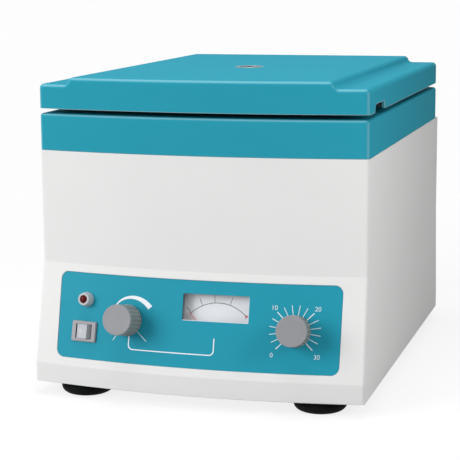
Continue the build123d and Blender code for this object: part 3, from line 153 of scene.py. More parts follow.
@dataclass(frozen=True)
class Finish:
    """One real material and how its surface was made, with the light and shade painted on its
    edges, rounds and gaps.

    Attributes:
        name: material name, after the real material.
        colour: sRGB hex of the surface.
        shade: sRGB hex of its darker patches.
        roughness: mean roughness.
        spread: how far the roughness wanders from its mean.
        metallic: 1 for a bare metal.
        ior: index of refraction; metals keep the default.
        grain_mm: size of the fine relief.
        relief_mm: height of the fine relief.
        grain: how the relief is laid.
        patch_mm: size of the soft colour patches.
        coat: strength of a clear, glossy skin.
        transmission: how much light passes through.
        specular: strength of the surface gloss; 0.5 is a smooth, clean skin.
        cover: share that stops light; below 1 it is clear sheet.
        edge_mm: radius of the softened edges.
        edge_polish: how much lighter the edges are painted, as a highlight.
        round_polish: how much lighter the rounds at the front are painted, as a highlight.
        crevice_mm: reach of the painted shade in tight gaps.
    """

    name: str
    colour: str
    shade: str
    roughness: float
    spread: float = 0.05
    metallic: float = 0.0
    ior: float = 1.5
    grain_mm: float = 0.3
    relief_mm: float = 0.01
    grain: Grain = Grain.EVEN
    patch_mm: float = 9.0
    coat: float = 0.0
    transmission: float = 0.0
    specular: float = 0.5
    cover: float = 1.0
    edge_mm: float = 0.0
    edge_polish: float = 0.0
    round_polish: float = 0.0
    crevice_mm: float = 0.0

    def material(self) -> bpy.types.Material:
        """Builds the finish once and returns the same material after that."""
        made = bpy.data.materials.get(self.name)
        if made is not None:
            return made
        made = bpy.data.materials.new(self.name)
        tree = empty_tree(made)
        where = add_node(tree, "TexCoord", {}, "Object")
        noise = {"Scale": 1 / (self.patch_mm * MM), "Detail": 3.0, "Roughness": 0.55}
        patches = add_node(tree, "TexNoise", {"Vector": where, **noise}, "Fac")
        tones = {"Factor": patches, "A": linear(self.shade), "B": linear(self.colour)}
        surface = add_node(tree, "Mix", tones, "Result", data_type="RGBA")
        grain = self._grain(tree, where)
        limits = {
            "To Min": max(self.roughness - self.spread, LEAST_ROUGHNESS),
            "To Max": min(self.roughness + self.spread, 1.0),
        }
        rough = add_node(tree, "MapRange", {"Value": grain, **limits}, "Result")
        relief = {"Height": grain, "Distance": self.relief_mm * MM, "Strength": 0.6}
        if self.edge_mm > 0:
            reach = {"Radius": self.edge_mm * MM}
            relief["Normal"] = add_node(tree, "Bevel", reach, "Normal", samples=8)
        skin = {
            # Colour with the painted highlights and painted shade laid on.
            "Base Color": self._worn(tree, surface, relief.get("Normal")),
            "Roughness": rough,
            "Normal": add_node(tree, "Bump", relief, "Normal"),
            "Metallic": self.metallic,
            "Coat Weight": self.coat,
            "Coat Roughness": 0.1,
            "Transmission Weight": self.transmission,
            "Specular IOR Level": self.specular,
            "Alpha": self.cover,
        }
        if self.metallic < 1.0:
            skin["IOR"] = self.ior
        shader = add_node(tree, "BsdfPrincipled", skin, "BSDF")
        add_node(tree, "OutputMaterial", {"Surface": shader})
        return made

    def _worn(self, tree: Tree, colour: Socket, soft: Socket | None) -> Socket:
        """Adds painted highlights and painted shade to the colour.

        Beside an edge the rounded normal turns away from the face's own, so a dot product below
        1 marks the edges, which are painted lighter as a highlight. On a large round the piece's
        own normal leans both forward and either up or sideways, so the product of the leans marks
        the rounds, painted lighter as a highlight too; upright ones get a little less. A small open
        share marks the tight gaps, which are painted darker as shade.

        Args:
            tree: the material's nodes.
            colour: colour of flat faces, before the painted light.
            soft: rounded normal of a finish with soft edges.

        Returns:
            Colour of all places together.
        """
        marks: list[tuple[Socket, Wear, float]] = []
        if self.edge_polish > 0:
            flat = add_node(tree, "NewGeometry", {}, "Normal")
            pair = {0: soft, 1: flat}
            match = add_node(tree, "VectorMath", pair, "Value", operation="DOT_PRODUCT")
            marks.append((match, EDGE_HIGHLIGHT, self.edge_polish))
        if self.round_polish > 0:
            own = add_node(tree, "TexCoord", {}, "Normal")
            size = add_node(tree, "VectorMath", {0: own}, "Vector", operation="ABSOLUTE")
            lean = add_node(tree, "SeparateXYZ", {"Vector": size})
            mark = lean["X"]
            for factor, operation in (
                (CORNER_SHARE, "MULTIPLY"), (lean["Z"], "MAXIMUM"), (lean["Y"], "MULTIPLY"),
            ):
                mark = add_node(tree, "Math", {0: mark, 1: factor}, "Value", operation=operation)
            marks.append((mark, ROUND_HIGHLIGHT, self.round_polish))
        if self.crevice_mm > 0:
            reach = {"Distance": self.crevice_mm * MM}
            open_share = add_node(tree, "AmbientOcclusion", reach, "AO", samples=8)
            marks.append((open_share, GAP_SHADE, GAP_SHADE_SHARE))
        for mark, paint, amount in marks:
            span = {"From Min": paint.start, "From Max": paint.full, "To Max": amount}
            share = add_node(tree, "MapRange", {"Value": mark, **span}, "Result")
            tones = {"Factor": share, "A": colour, "B": linear(paint.tint)}
            colour = add_node(tree, "Mix", tones, "Result", data_type="RGBA")
        return colour

    def _grain(self, tree: Tree, where: Socket) -> Socket:
        """Adds the fine relief.

        Args:
            tree: the material's nodes.
            where: position on the piece.

        Returns:
            The relief's height, from 0 to 1.
        """
        if self.grain is Grain.BRUSHED_X:
            # Stretched along x, as an abrasive belt leaves it.
            belt = {"Vector": where, "Scale": (1 / BELT_STRETCH, 1.0, 1.0)}
            where = add_node(tree, "Mapping", belt, "Vector")
        if self.grain is Grain.BRUSHED_ROUND:
            # Rings about the chamber's axis: only the distance from it and the height count.
            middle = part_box("chamber_bowl")
            centre = [-(middle[0][i] + middle[1][i]) / 2 for i in (0, 1)]
            shift = {"Vector": where, "Location": (*centre, 0.0)}
            moved = add_node(tree, "Mapping", shift, "Vector")
            parts = add_node(tree, "SeparateXYZ", {"Vector": moved})
            flat = add_node(tree, "CombineXYZ", {"X": parts["X"], "Y": parts["Y"]}, "Vector")
            radius = add_node(tree, "VectorMath", {0: flat}, "Value", operation="LENGTH")
            where = add_node(tree, "CombineXYZ", {"X": radius, "Z": parts["Z"]}, "Vector")
        spots = {"Vector": where, "Scale": 1 / (self.grain_mm * MM)}
        if self.grain is Grain.PITTED:
            return add_node(tree, "TexVoronoi", spots, "Distance")
        return add_node(tree, "TexNoise", {**spots, "Detail": 4.0, "Roughness": 0.6}, "Fac")


# White injection-moulded ABS: a dull satin skin with a fine spark-eroded grain, and a painted
# highlight on its edges.
WHITE_ABS = Finish(
    "white_abs_moulded", "#e9e9e8", "#e5e5e4", 0.6, ior=1.53, grain_mm=0.5, relief_mm=0.008,
    patch_mm=70.0, specular=0.1, edge_mm=1.0, edge_polish=0.35,
)
# Teal injection-moulded ABS: the same grain, dyed through, so dull that it keeps its colour
# even where it is seen at a low angle. Its edges and the rounds at the front carry a painted
# highlight.
TEAL_ABS = Finish(
    "teal_abs_moulded", "#2f9cb2", "#2b98ae", 0.6, ior=1.53, grain_mm=0.5, relief_mm=0.006,
    patch_mm=70.0, specular=0.01, edge_mm=1.4, edge_polish=0.55, round_polish=0.3,
)
# Printed polyester overlay: flat satin teal, smoother than the mouldings.
TEAL_OVERLAY = Finish(
    "teal_polyester_overlay", "#2899b0", "#2493aa", 0.5, grain_mm=0.35, relief_mm=0.004,
    patch_mm=110.0, specular=0.08, edge_mm=0.2,
)
# Screen ink: matt and slightly raised.
WHITE_INK = Finish("white_screen_ink", "#f0f4f9", "#e6edf2", 0.6, patch_mm=6.0)
# Thin strokes let a little of the teal through.
PALE_INK = Finish("thin_white_screen_ink", "#dfeff3", "#d2e8ee", 0.6, patch_mm=3.0)
# Printing ink on the dial: matt and nearly black.
BLACK_INK = Finish("black_dial_ink", "#0d0f12", "#15181c", 0.6, patch_mm=5.0)
# The same ink in red, a touch smoother.
RED_INK = Finish("red_dial_ink", "#cf3346", "#c02c3e", 0.5, patch_mm=5.0)
# Grey ABS of the knobs: satin, with a little moulding haze, a painted highlight on its edges and
# flutes, and painted shade in the grooves and where it meets the panel.
KNOB_GREY = Finish(
    "grey_abs_knob", "#8c918f", "#838886", 0.5, grain_mm=0.4, patch_mm=14.0, specular=0.3,
    edge_mm=0.3, edge_polish=0.5, crevice_mm=2.2,
)
# Paler grey ABS of the knob caps: satin, with a soft painted highlight on the rim.
CAP_GREY = Finish(
    "grey_abs_cap", "#949599", "#8c8d91", 0.5, grain_mm=0.35, relief_mm=0.008, patch_mm=16.0,
    specular=0.3, edge_mm=0.5, edge_polish=0.4,
)
# Grey PBT of the switch: slightly rough, with a painted highlight on its moulded edges and painted
# shade in its tight gaps.
SWITCH_GREY = Finish(
    "grey_pbt_bezel", "#a3a2a6", "#9a999d", 0.45, grain_mm=0.4, specular=0.3, edge_mm=0.35,
    edge_polish=0.3, crevice_mm=3.0,
)
# Paler PBT of the lamp's holder, with a painted highlight on its edges.
LAMP_GREY = Finish(
    "pale_grey_pbt_holder", "#bdbec1", "#b4b5b9", 0.45, grain_mm=0.4, specular=0.3, edge_mm=0.3,
    edge_polish=0.4,
)
# Polycarbonate of the rocker: smoother and cooler than the bezel, with painted shade at its foot
# and a painted highlight on its edges.
ROCKER_GREY = Finish(
    "pale_grey_pc_rocker", "#b9bdc3", "#b0b4bb", 0.4, grain_mm=0.5, patch_mm=8.0, specular=0.3,
    edge_mm=0.35, edge_polish=0.3, crevice_mm=2.5,
)
# Moulded mark on the rocker: pale, with almost no relief.
ROCKER_INK = Finish("raised_rocker_mark", "#e3e7ec", "#d6dbe1", 0.4, relief_mm=0.004, patch_mm=2.0)
# Ruby polycarbonate lens: dark until lit, with a wet highlight.
RUBY_LENS = Finish(
    "ruby_polycarbonate_lens", "#640408", "#2e0204", 0.14, spread=0.02, ior=1.58, grain_mm=1.2,
    relief_mm=0.002, patch_mm=3.0, specular=0.1,
)
# Matt white card and case of the meter.
DIAL_WHITE = Finish("white_dial_card", "#eef1f6", "#e8ecf2", 0.6, grain_mm=0.25, patch_mm=12.0)
# Grey moulded case of the meter: matt, with slow changes of tone.
CASE_GREY = Finish("grey_meter_case", "#8b8e96", "#80838c", 0.6, grain_mm=0.4, patch_mm=18.0)
# Painted highlight: the window's edge where the light falls.
LIP_HIGHLIGHT = Finish("painted_highlight_meter_lip", "#eceef1", "#e2e5e9", 0.45)
# Painted shade: the window's edge that lies in shade.
LIP_SHADE = Finish("painted_shade_meter_lip", "#55504f", "#4a4645", 0.6)
# Thin clear sheet: it hides almost nothing and keeps a faint wet gloss.
CLEAR_ACRYLIC = Finish(
    "clear_acrylic_window", "#fbfcfc", "#f7f9f9", 0.03, spread=0.01, ior=1.49, grain_mm=4.0,
    relief_mm=0.0005, patch_mm=60.0, cover=0.08,
)
# Soda-lime glass of the slides: clear, faintly green, with a wet gloss.
SLIDE_GLASS = Finish(
    "soda_lime_slide", "#eef6f4", "#e6f2ef", 0.03, spread=0.01, ior=1.52, grain_mm=5.0,
    relief_mm=0.0005, patch_mm=40.0, transmission=0.9,
)
# Smoked polycarbonate of the sight port: dark, with a blurred sheen.
SMOKED_GLASS = Finish(
    "smoked_polycarbonate_port", "#2c3335", "#23292b", 0.2, spread=0.04, ior=1.58, grain_mm=5.0,
    relief_mm=0.0008, patch_mm=10.0, transmission=0.2, specular=0.04,
)
# Natural rubber of the feet and seals: near black, dull, faintly dusty.
FOOT_RUBBER = Finish(
    "black_natural_rubber", "#0a0b0c", "#060708", 0.75, grain_mm=0.6, relief_mm=0.02, specular=0.1,
    edge_mm=0.5,
)
# EPDM of the seals: blacker and a little smoother than the feet.
SEAL_RUBBER = Finish(
    "black_epdm_seal", "#141618", "#0e1012", 0.55, grain_mm=0.7, relief_mm=0.02, patch_mm=15.0,
    edge_mm=0.3,
)
# Drawn stainless bowl, spun and brushed in rings.
BOWL_STEEL = Finish(
    "spun_stainless_bowl", "#8b8e90", "#808385", 0.42, spread=0.08, metallic=1.0, grain_mm=0.5,
    relief_mm=0.006, grain=Grain.BRUSHED_ROUND, patch_mm=50.0, edge_mm=0.4,
)
# Folded stainless sheet, belt-brushed along its length.
CARRIER_STEEL = Finish(
    "folded_stainless_sheet", "#a6a9ab", "#9a9da0", 0.38, spread=0.08, metallic=1.0, grain_mm=0.35,
    relief_mm=0.004, grain=Grain.BRUSHED_X, patch_mm=20.0, edge_mm=0.25,
)
# Zinc-plated steel: bright grey, with a crystalline bloom.
ZINC_STEEL = Finish(
    "zinc_plated_steel", "#b7bbbd", "#a5a9ab", 0.36, spread=0.1, metallic=1.0, grain_mm=3.0,
    relief_mm=0.004, grain=Grain.PITTED, patch_mm=12.0, edge_mm=0.2,
)
# Nickel plate of hinges, nut and clips: smooth, with sharp glints.
BRIGHT_STEEL = Finish(
    "nickel_plated_steel", "#c2c4c6", "#b6b9bb", 0.16, metallic=1.0, grain_mm=1.5, relief_mm=0.002,
    patch_mm=20.0, edge_mm=0.3,
)
# Turned and anodised rotor: soft grey sheen in rings.
TURNED_ALUMINIUM = Finish(
    "turned_anodised_aluminium", "#989b9e", "#8c8f92", 0.45, spread=0.08, metallic=1.0,
    relief_mm=0.004, grain=Grain.BRUSHED_ROUND, patch_mm=25.0, edge_mm=0.5,
)
# Darker anodised rim of the sight port; only its turned edge is bright, a painted highlight.
PORT_ALUMINIUM = Finish(
    "dark_anodised_rim", "#7d7f81", "#707274", 0.42, spread=0.06, metallic=1.0, relief_mm=0.004,
    grain=Grain.BRUSHED_ROUND, edge_mm=0.4, edge_polish=0.8,
)
# Sand-cast end bell and heat sink: coarse, dull and pale.
CAST_ALUMINIUM = Finish(
    "sand_cast_aluminium", "#a9acae", "#989b9d", 0.52, spread=0.1, metallic=1.0, grain_mm=1.1,
    relief_mm=0.05, patch_mm=14.0, edge_mm=0.5,
)
# Black enamel of the motor: a thin gloss over orange peel.
MOTOR_ENAMEL = Finish(
    "black_motor_enamel", "#26282b", "#1e2022", 0.38, grain_mm=1.0, relief_mm=0.03, patch_mm=25.0,
    coat=0.3, edge_mm=0.5,
)
# Stacked iron sheets and magnet: dark and dull.
MILL_IRON = Finish(
    "dull_lamination_iron", "#6b6d70", "#5c5e61", 0.5, spread=0.12, metallic=1.0, grain_mm=0.5,
    patch_mm=10.0,
)
# Solder mask over copper: green, glossy, finely mottled.
BOARD_GREEN = Finish(
    "green_solder_mask", "#1d6b41", "#175c37", 0.3, grain_mm=1.4, relief_mm=0.02, patch_mm=7.0,
    coat=0.4,
)
# Glass-filled nylon of the inlet: black, dull and slightly rough.
BLACK_NYLON = Finish(
    "black_glass_filled_nylon", "#1d1f21", "#16181a", 0.48, grain_mm=0.45, relief_mm=0.012,
    patch_mm=12.0, edge_mm=0.3,
)
# Dark grey ABS inside the lid: matt and even.
LINER_GREY = Finish(
    "dark_grey_abs_liner", "#3e4245", "#383c3f", 0.45, grain_mm=0.6, patch_mm=60.0, edge_mm=0.3
)
# The same ABS where the seal has rubbed it paler and smoother.
SEAL_TRACK = Finish(
    "rubbed_abs_liner", "#595e61", "#505558", 0.3, grain_mm=0.6, relief_mm=0.004, patch_mm=40.0
)
# Natural polypropylene: milky, letting a little light through.
FUNNEL_PLASTIC = Finish(
    "natural_polypropylene", "#eceff1", "#e2e7ea", 0.35, ior=1.49, grain_mm=0.6, relief_mm=0.006,
    patch_mm=10.0, transmission=0.25, edge_mm=0.3,
)
# Phenolic case of the timer: beige and matt.
TIMER_BEIGE = Finish("beige_phenolic_case", "#b9b2a2", "#aca594", 0.5, grain_mm=0.5, patch_mm=12.0)
# Enamel of the needle: red and satin.
NEEDLE_RED = Finish("red_enamel_needle", "#dc5663", "#d04a58", 0.45, grain_mm=0.5, patch_mm=6.0)
# Absorbent card: dry white with visible fibres.
FILTER_CARD = Finish(
    "white_filter_card", "#f1f0ea", "#e9e7df", 0.85, grain_mm=0.35, relief_mm=0.03, patch_mm=5.0
)


# The nodes that each finish dresses; numbered nodes go by their name without the number.
NODE_FINISH: dict[str, Finish] = {
    node: finish
    for finish, nodes in (
        (WHITE_ABS, "housing"),
        (TEAL_OVERLAY, "control_panel"),
        (TEAL_ABS, "top_frame lid"),
        (ZINC_STEEL, "base_plate foot_screws motor_plate motor_bolts speed_potentiometer"),
        (ZINC_STEEL, "speed_spindle timer_spindle drive_shaft"),
        (FOOT_RUBBER, "feet motor_mounts"),
        (BOWL_STEEL, "chamber_bowl"),
        (SEAL_RUBBER, "chamber_gasket bowl_boot"),
        (MOTOR_ENAMEL, "motor_can"),
        (CAST_ALUMINIUM, "motor_bell heat_sink"),
        (BOARD_GREEN, "control_board"),
        (TIMER_BEIGE, "timer_movement"),
        (SWITCH_GREY, "switch_body"),
        (ROCKER_GREY, "rocker"),
        (LAMP_GREY, "lamp_bezel"),
        (RUBY_LENS, "lamp_lens"),
        (CASE_GREY, "meter_case"),
        (DIAL_WHITE, "meter_dial"),
        (CLEAR_ACRYLIC, "meter_window"),
        (NEEDLE_RED, "meter_needle"),
        (BLACK_NYLON, "power_inlet fuse_drawer reed_switch"),
        (BRIGHT_STEEL, "frame_hinges lid_hinges hinge_pins rotor_nut"),
        (LINER_GREY, "lid_liner"),
        (MILL_IRON, "lid_magnet armature"),
        (PORT_ALUMINIUM, "sight_bezel"),
        (SMOKED_GLASS, "sight_glass"),
        (KNOB_GREY, "speed_knob timer_knob"),
        (CAP_GREY, "speed_knob_cap timer_knob_cap"),
        (TURNED_ALUMINIUM, "rotor_head"),
        (CARRIER_STEEL, "carrier_bracket"),
        (SLIDE_GLASS, "glass_slide"),
        (FUNNEL_PLASTIC, "sample_funnel"),
    )
    for node in nodes.split()
}


# ------------------------------------------------------------------ meshes
def mesh_object(name: str, made: Mesh, material: bpy.types.Material) -> bpy.types.Object:
    """Puts a mesh of one material into the scene, at the origin.

    Args:
        name: the object's name.
        made: its mesh in metres.
        material: what it wears.

    Returns:
        The object.
    """
    mesh = bpy.data.meshes.new(name)
    mesh.from_pydata(made[0], [], made[1])
    mesh.materials.append(material)
    thing = bpy.data.objects.new(name, mesh)
    bpy.context.scene.collection.objects.link(thing)
    return thing


def grid_faces(rows: int, columns: int, wrap: bool) -> Array:
    """Quads of a grid of points, rows by columns.

    Args:
        rows: points along the first parameter.
        columns: points along the second parameter.
        wrap: whether the second parameter closes on itself.

    Returns:
        Vertex numbers, four to a face.
    """
    span = columns if wrap else columns - 1
    i, j = np.meshgrid(np.arange(rows - 1), np.arange(span), indexing="ij")
    k = (j + 1) % columns
    low, high = i * columns, (i + 1) * columns
    return np.stack([low + j, low + k, high + k, high + j], axis=-1).reshape(-1, 4)


def at_height(outline: Array, height: float) -> Array:
    """Flat (x, y) rows with a third column, all at one height."""
    return np.hstack([outline, np.full((len(outline), 1), height)])


def polar(x: float, y: float, radius: Any, degrees: Any) -> Array:
    """Places round (x, y), counter-clockwise from the right: (x + r cos t, y + r sin t)."""
    radius, turn = np.broadcast_arrays(radius, np.radians(degrees))
    return np.stack([x + radius * np.cos(turn), y + radius * np.sin(turn)], axis=-1)


def swept_bar(path: Array, widths: Array, low: float, high: float) -> Mesh:
    """Flat bar carried along a path in a plane, with square ends.

    Each station is a rectangle: half the width to either side of the path along its normal,
    from low to high above the plane.

    Args:
        path: stations, one (u, v) row each.
        widths: width at each station.
        low: height of the underside.
        high: height of the top.

    Returns:
        Points as (u, v, height) rows, and faces.
    """
    run = np.gradient(path, axis=0)
    run /= np.linalg.norm(run, axis=1, keepdims=True)
    side = np.stack([-run[:, 1], run[:, 0]], axis=1) * np.asarray(widths)[:, None] / 2
    corners = ((path + side, low), (path + side, high), (path - side, high), (path - side, low))
    ring = np.stack([at_height(*corner) for corner in corners], axis=1)
    faces = grid_faces(len(path), 4, wrap=True).tolist()
    faces += [[3, 2, 1, 0], [4 * (len(path) - 1) + k for k in range(4)]]
    return ring.reshape(-1, 3), faces


def lathe(profile: Array, steps: int) -> Mesh:
    """Surface of revolution about the local z axis.

    A point of the profile at (r, z) goes to (r cos t, r sin t, z) as t runs once round. The
    profile's two ends lie on the axis and become fans, so the form is closed.

    Args:
        profile: (r, z) rows whose first and last r are 0.
        steps: facets round the axis.

    Returns:
        Points and faces in local coordinates.
    """
    turn = np.linspace(0, FULL_TURN, steps, endpoint=False)
    radius, height = profile[1:-1, :1], profile[1:-1, 1:]
    body = np.stack([radius * np.cos(turn), radius * np.sin(turn), height + 0 * turn], axis=-1)
    points = np.vstack([body.reshape(-1, 3), [0, 0, profile[0, 1]], [0, 0, profile[-1, 1]]])
    faces = grid_faces(len(radius), steps, wrap=True).tolist()
    first, last = len(points) - 2, len(points) - 1
    tail = first - steps
    for j in range(steps):
        k = (j + 1) % steps
        faces += [[first, k, j], [last, tail + j, tail + k]]
    return points, faces


def tube(path: Array, radius: float, sides: int, up: Point) -> Mesh:
    """Round wire along a closed path.

    At each station the wire's section is the circle path + radius (a cos t + b sin t), where a
    lies across the path in its plane and b is the plane's normal.

    Args:
        path: stations in local millimetres; the last joins the first.
        radius: radius of the wire.
        sides: facets round the wire.
        up: normal of the path's plane.

    Returns:
        Points and faces in local coordinates.
    """
    run = np.roll(path, -1, axis=0) - np.roll(path, 1, axis=0)
    run /= np.linalg.norm(run, axis=1, keepdims=True)
    across = np.cross(run, up)[:, None, :]
    turn = np.linspace(0, FULL_TURN, sides, endpoint=False)[:, None]
    ring = path[:, None, :] + radius * (np.cos(turn) * across + np.sin(turn) * np.array(up))
    faces = grid_faces(len(path) + 1, sides, wrap=True) % (len(path) * sides)
    return ring.reshape(-1, 3), faces.tolist()


def rounded_rectangle(half: Point, radius: float, steps: int = 8) -> Array:
    """Closed outline of a rectangle with round corners, counter-clockwise.

    Each corner is a quarter circle of (centre + radius cos t, centre + radius sin t), and the
    straight sides run between them.

    Args:
        half: half the lengths along x and y.
        radius: corner radius.
        steps: points on each corner.

    Returns:
        (x, y) rows.
    """
    quarter = np.linspace(0, math.pi / 2, steps)
    turn = np.concatenate([quarter + k * math.pi / 2 for k in range(4)])
    signs = np.array([[1, 1], [-1, 1], [-1, -1], [1, -1]])
    centre = np.repeat(signs, steps, axis=0) * (np.array(half) - radius)
    return centre + radius * np.stack([np.cos(turn), np.sin(turn)], axis=1)


def flat_ring(outer: Array, inner: Array, low: float, high: float) -> Mesh:
    """Flat sheet between two closed outlines with the same number of points.

    Its section is a rectangle from the inner to the outer outline and from low to high, carried
    once round.

    Args:
        outer: outer outline, counter-clockwise (x, y) rows.
        inner: inner outline, counter-clockwise.
        low: underside.
        high: top.

    Returns:
        Points and faces in local coordinates.
    """
    corners = ((inner, low), (outer, low), (outer, high), (inner, high))
    rings = np.stack([at_height(*corner) for corner in corners], axis=1)
    faces = grid_faces(len(outer) + 1, 4, wrap=True) % (len(outer) * 4)
    return rings.reshape(-1, 3), faces[:, ::-1].tolist()


def screw_head(radius: float, height: float) -> Mesh:
    """Pan head with a cross recess.

    The dome is (radius sin t, height cos t to the power 0.6), spun about z. Inside the cross,
    where the nearer of |x| and |y| is under a ninth of the diameter, the surface drops by half
    the height, with a soft wall. A short skirt below z = 0 seats it.

    Args:
        radius: radius of the head.
        height: height of the head.

    Returns:
        Points and faces in local coordinates, the seat at z = 0.
    """
    arm_half, arm_reach, wall = 0.22 * radius, 0.62 * radius, 0.08 * radius
    skirt, depth, shoulder = 0.2, 0.5 * height, 0.3 * height
    turn = np.linspace(math.pi / 2, 0, 16)
    dome = np.stack([radius * np.sin(turn), height * np.cos(turn) ** 0.6], axis=1)
    points, faces = lathe(np.vstack([[0.0, -skirt], [radius, -skirt], dome]), 40)
    x, y = np.abs(points[:, 0]), np.abs(points[:, 1])
    arm = np.clip((arm_half - np.minimum(x, y)) / wall, 0, 1)
    reach = np.clip((arm_reach - np.maximum(x, y)) / wall, 0, 1)
    points[:, 2] -= depth * (points[:, 2] > shoulder) * arm * reach
    return points, faces


def place(points: Array, origin: Array, x_dir: Point, z_dir: Point) -> Array:
    """Carries local points into the frame.

    Args:
        points: local rows in millimetres.
        origin: where the local origin goes, in metres.
        x_dir: direction of the local x axis.
        z_dir: direction of the local z axis.

    Returns:
        Points in metres.
    """
    z_axis = np.asarray(z_dir, dtype=float) / np.linalg.norm(z_dir)
    x_axis = np.asarray(x_dir, dtype=float) - np.dot(x_dir, z_axis) * z_axis
    x_axis /= np.linalg.norm(x_axis)
    y_axis = np.cross(z_axis, x_axis)
    return origin + (points @ np.stack([x_axis, y_axis, z_axis])) * MM


def lettering(text: str, size: float, low: float, high: float) -> Mesh:
    """Outline of a short number as a thin mesh, its strokes drawn in a little.

    Args:
        text: digits.
        size: font size in millimetres.
        low: height of the underside.
        high: height of the top.

    Returns:
        Points as (u, v, height) rows in millimetres, centred on their middle, and faces.
    """
    curve = bpy.data.curves.new("lettering", "FONT")
    curve.body = text
    curve.size = size
    curve.extrude = 0.1
    curve.offset = -0.004 * size
    curve.resolution_u = 6
    holder = bpy.data.objects.new("lettering", curve)
    mesh = bpy.data.meshes.new_from_object(holder)
    points = np.empty(len(mesh.vertices) * 3)
    mesh.vertices.foreach_get("co", points)
    points = points.reshape(-1, 3)
    faces = [list(polygon.vertices) for polygon in mesh.polygons]
    bpy.data.objects.remove(holder)
    bpy.data.curves.remove(curve)
    bpy.data.meshes.remove(mesh)
    points[:, :2] -= (points[:, :2].min(axis=0) + points[:, :2].max(axis=0)) / 2
    points[:, 2] = np.where(points[:, 2] > 0, high, low)
    return points, faces


# ------------------------------------------------------------------ console geometry
@dataclass(frozen=True)
class Slope:
    """The bowed, leaning console surface, as a map from flat places to the frame.

    Its plan is a circle of bow_radius. It comes forward by lean over its height, from its top
    edge above the bench, and the overlay lies sink below the surround, measured level.
    """

    bow_radius: float = 828.0
    lean: float = 21.8
    height: float = 90.2
    top: float = 119.7
    sink: float = 0.4

    @property
    def apex(self) -> float:
        """Front-most y of the body above the console."""
        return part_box("housing")[0][1] / MM + self.lean

    def normal(self, x: Any) -> Array:
        """Outward unit normals of the slope at the given x."""
        x = np.asarray(x, dtype=float)
        across = x / np.sqrt(self.bow_radius**2 - x**2)
        rise = np.full_like(x, self.lean / self.height)
        out = np.stack([across, -np.ones_like(x), rise], axis=-1)
        return out / np.linalg.norm(out, axis=-1, keepdims=True)

    def at(self, x: Any, drop: Any, lift: Any) -> Array:
        """Points of the overlay in metres.

        Down the slope by drop, y falls by drop sin a and z by drop cos a, where tan a is lean
        over height; across it, y follows the circle of the bow; lift is along the normal.

        Args:
            x: distance from the middle.
            drop: distance down the slope from its upper edge.
            lift: height above the overlay's face.

        Returns:
            Rows (x, y, z), one for each place.
        """
        x, drop, lift = np.broadcast_arrays(x, drop, lift)
        length = math.hypot(self.lean, self.height)
        root = np.sqrt(self.bow_radius**2 - x**2)
        y = self.apex + self.bow_radius - root - drop * self.lean / length
        z = self.top - drop * self.height / length
        face = np.stack([x, y, z], axis=-1)
        rise = lift - self.sink * self.height / length
        return (face + self.normal(x) * rise[..., None]) * MM

    def frame_at(self, x: float, drop: float) -> tuple[Array, Array, Array]:
        """Origin in metres, rightward and outward directions of a control's plane."""
        right = np.array([1.0, x / math.sqrt(self.bow_radius**2 - x**2), 0.0])
        return self.at(x, drop, 0.0), right, self.normal(x)


# ------------------------------------------------------------------ sub-assemblies
@dataclass
class SubAssembly:
    """Part of the instrument: what dresses its nodes or adds its small pieces."""

    pieces: list[bpy.types.Object] = field(default_factory=list, init=False)

    def add(
        self, name: str, made: Mesh, finish: Finish, body: str, slot: str, smooth: bool = False
    ) -> None:
        """Adds a mesh piece that rides on a body and wears a finish, and reports it.

        Args:
            name: the piece's name.
            made: its mesh in metres.
            finish: what it is made of.
            body: the body that carries it.
            slot: name of a material slot; not used.
            smooth: whether the faces are shaded smooth.
        """
        piece = mesh_object(name, made, finish.material())
        faces = piece.data.polygons
        faces.foreach_set("use_smooth", np.full(len(faces), smooth))
        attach(piece, body)
        self.pieces.append(piece)
        log.info("%s: %s", type(self).__name__, piece.name)

    def corners(self, node: str) -> Array:
        """Corners of a node's box in millimetres, lowest first."""
        return np.array(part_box(node)) / MM

    def build(self) -> None:
        """Builds the sub-assembly's pieces."""
        raise NotImplementedError


@dataclass
class Castings(SubAssembly):
    """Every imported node, dressed in the finish of its real material."""

    nodes: dict[str, bpy.types.Object] = field(default_factory=dict)

    def build(self) -> None:
        """Gives each node its finish."""
        for name, node in self.nodes.items():
            key = name if name in NODE_FINISH else name.rsplit("_", 1)[0]
            material = NODE_FINISH[key].material()
            for material_slot in node.material_slots:
                material_slot.material = material
            log.info("dressed %s in %s", name, material.name)


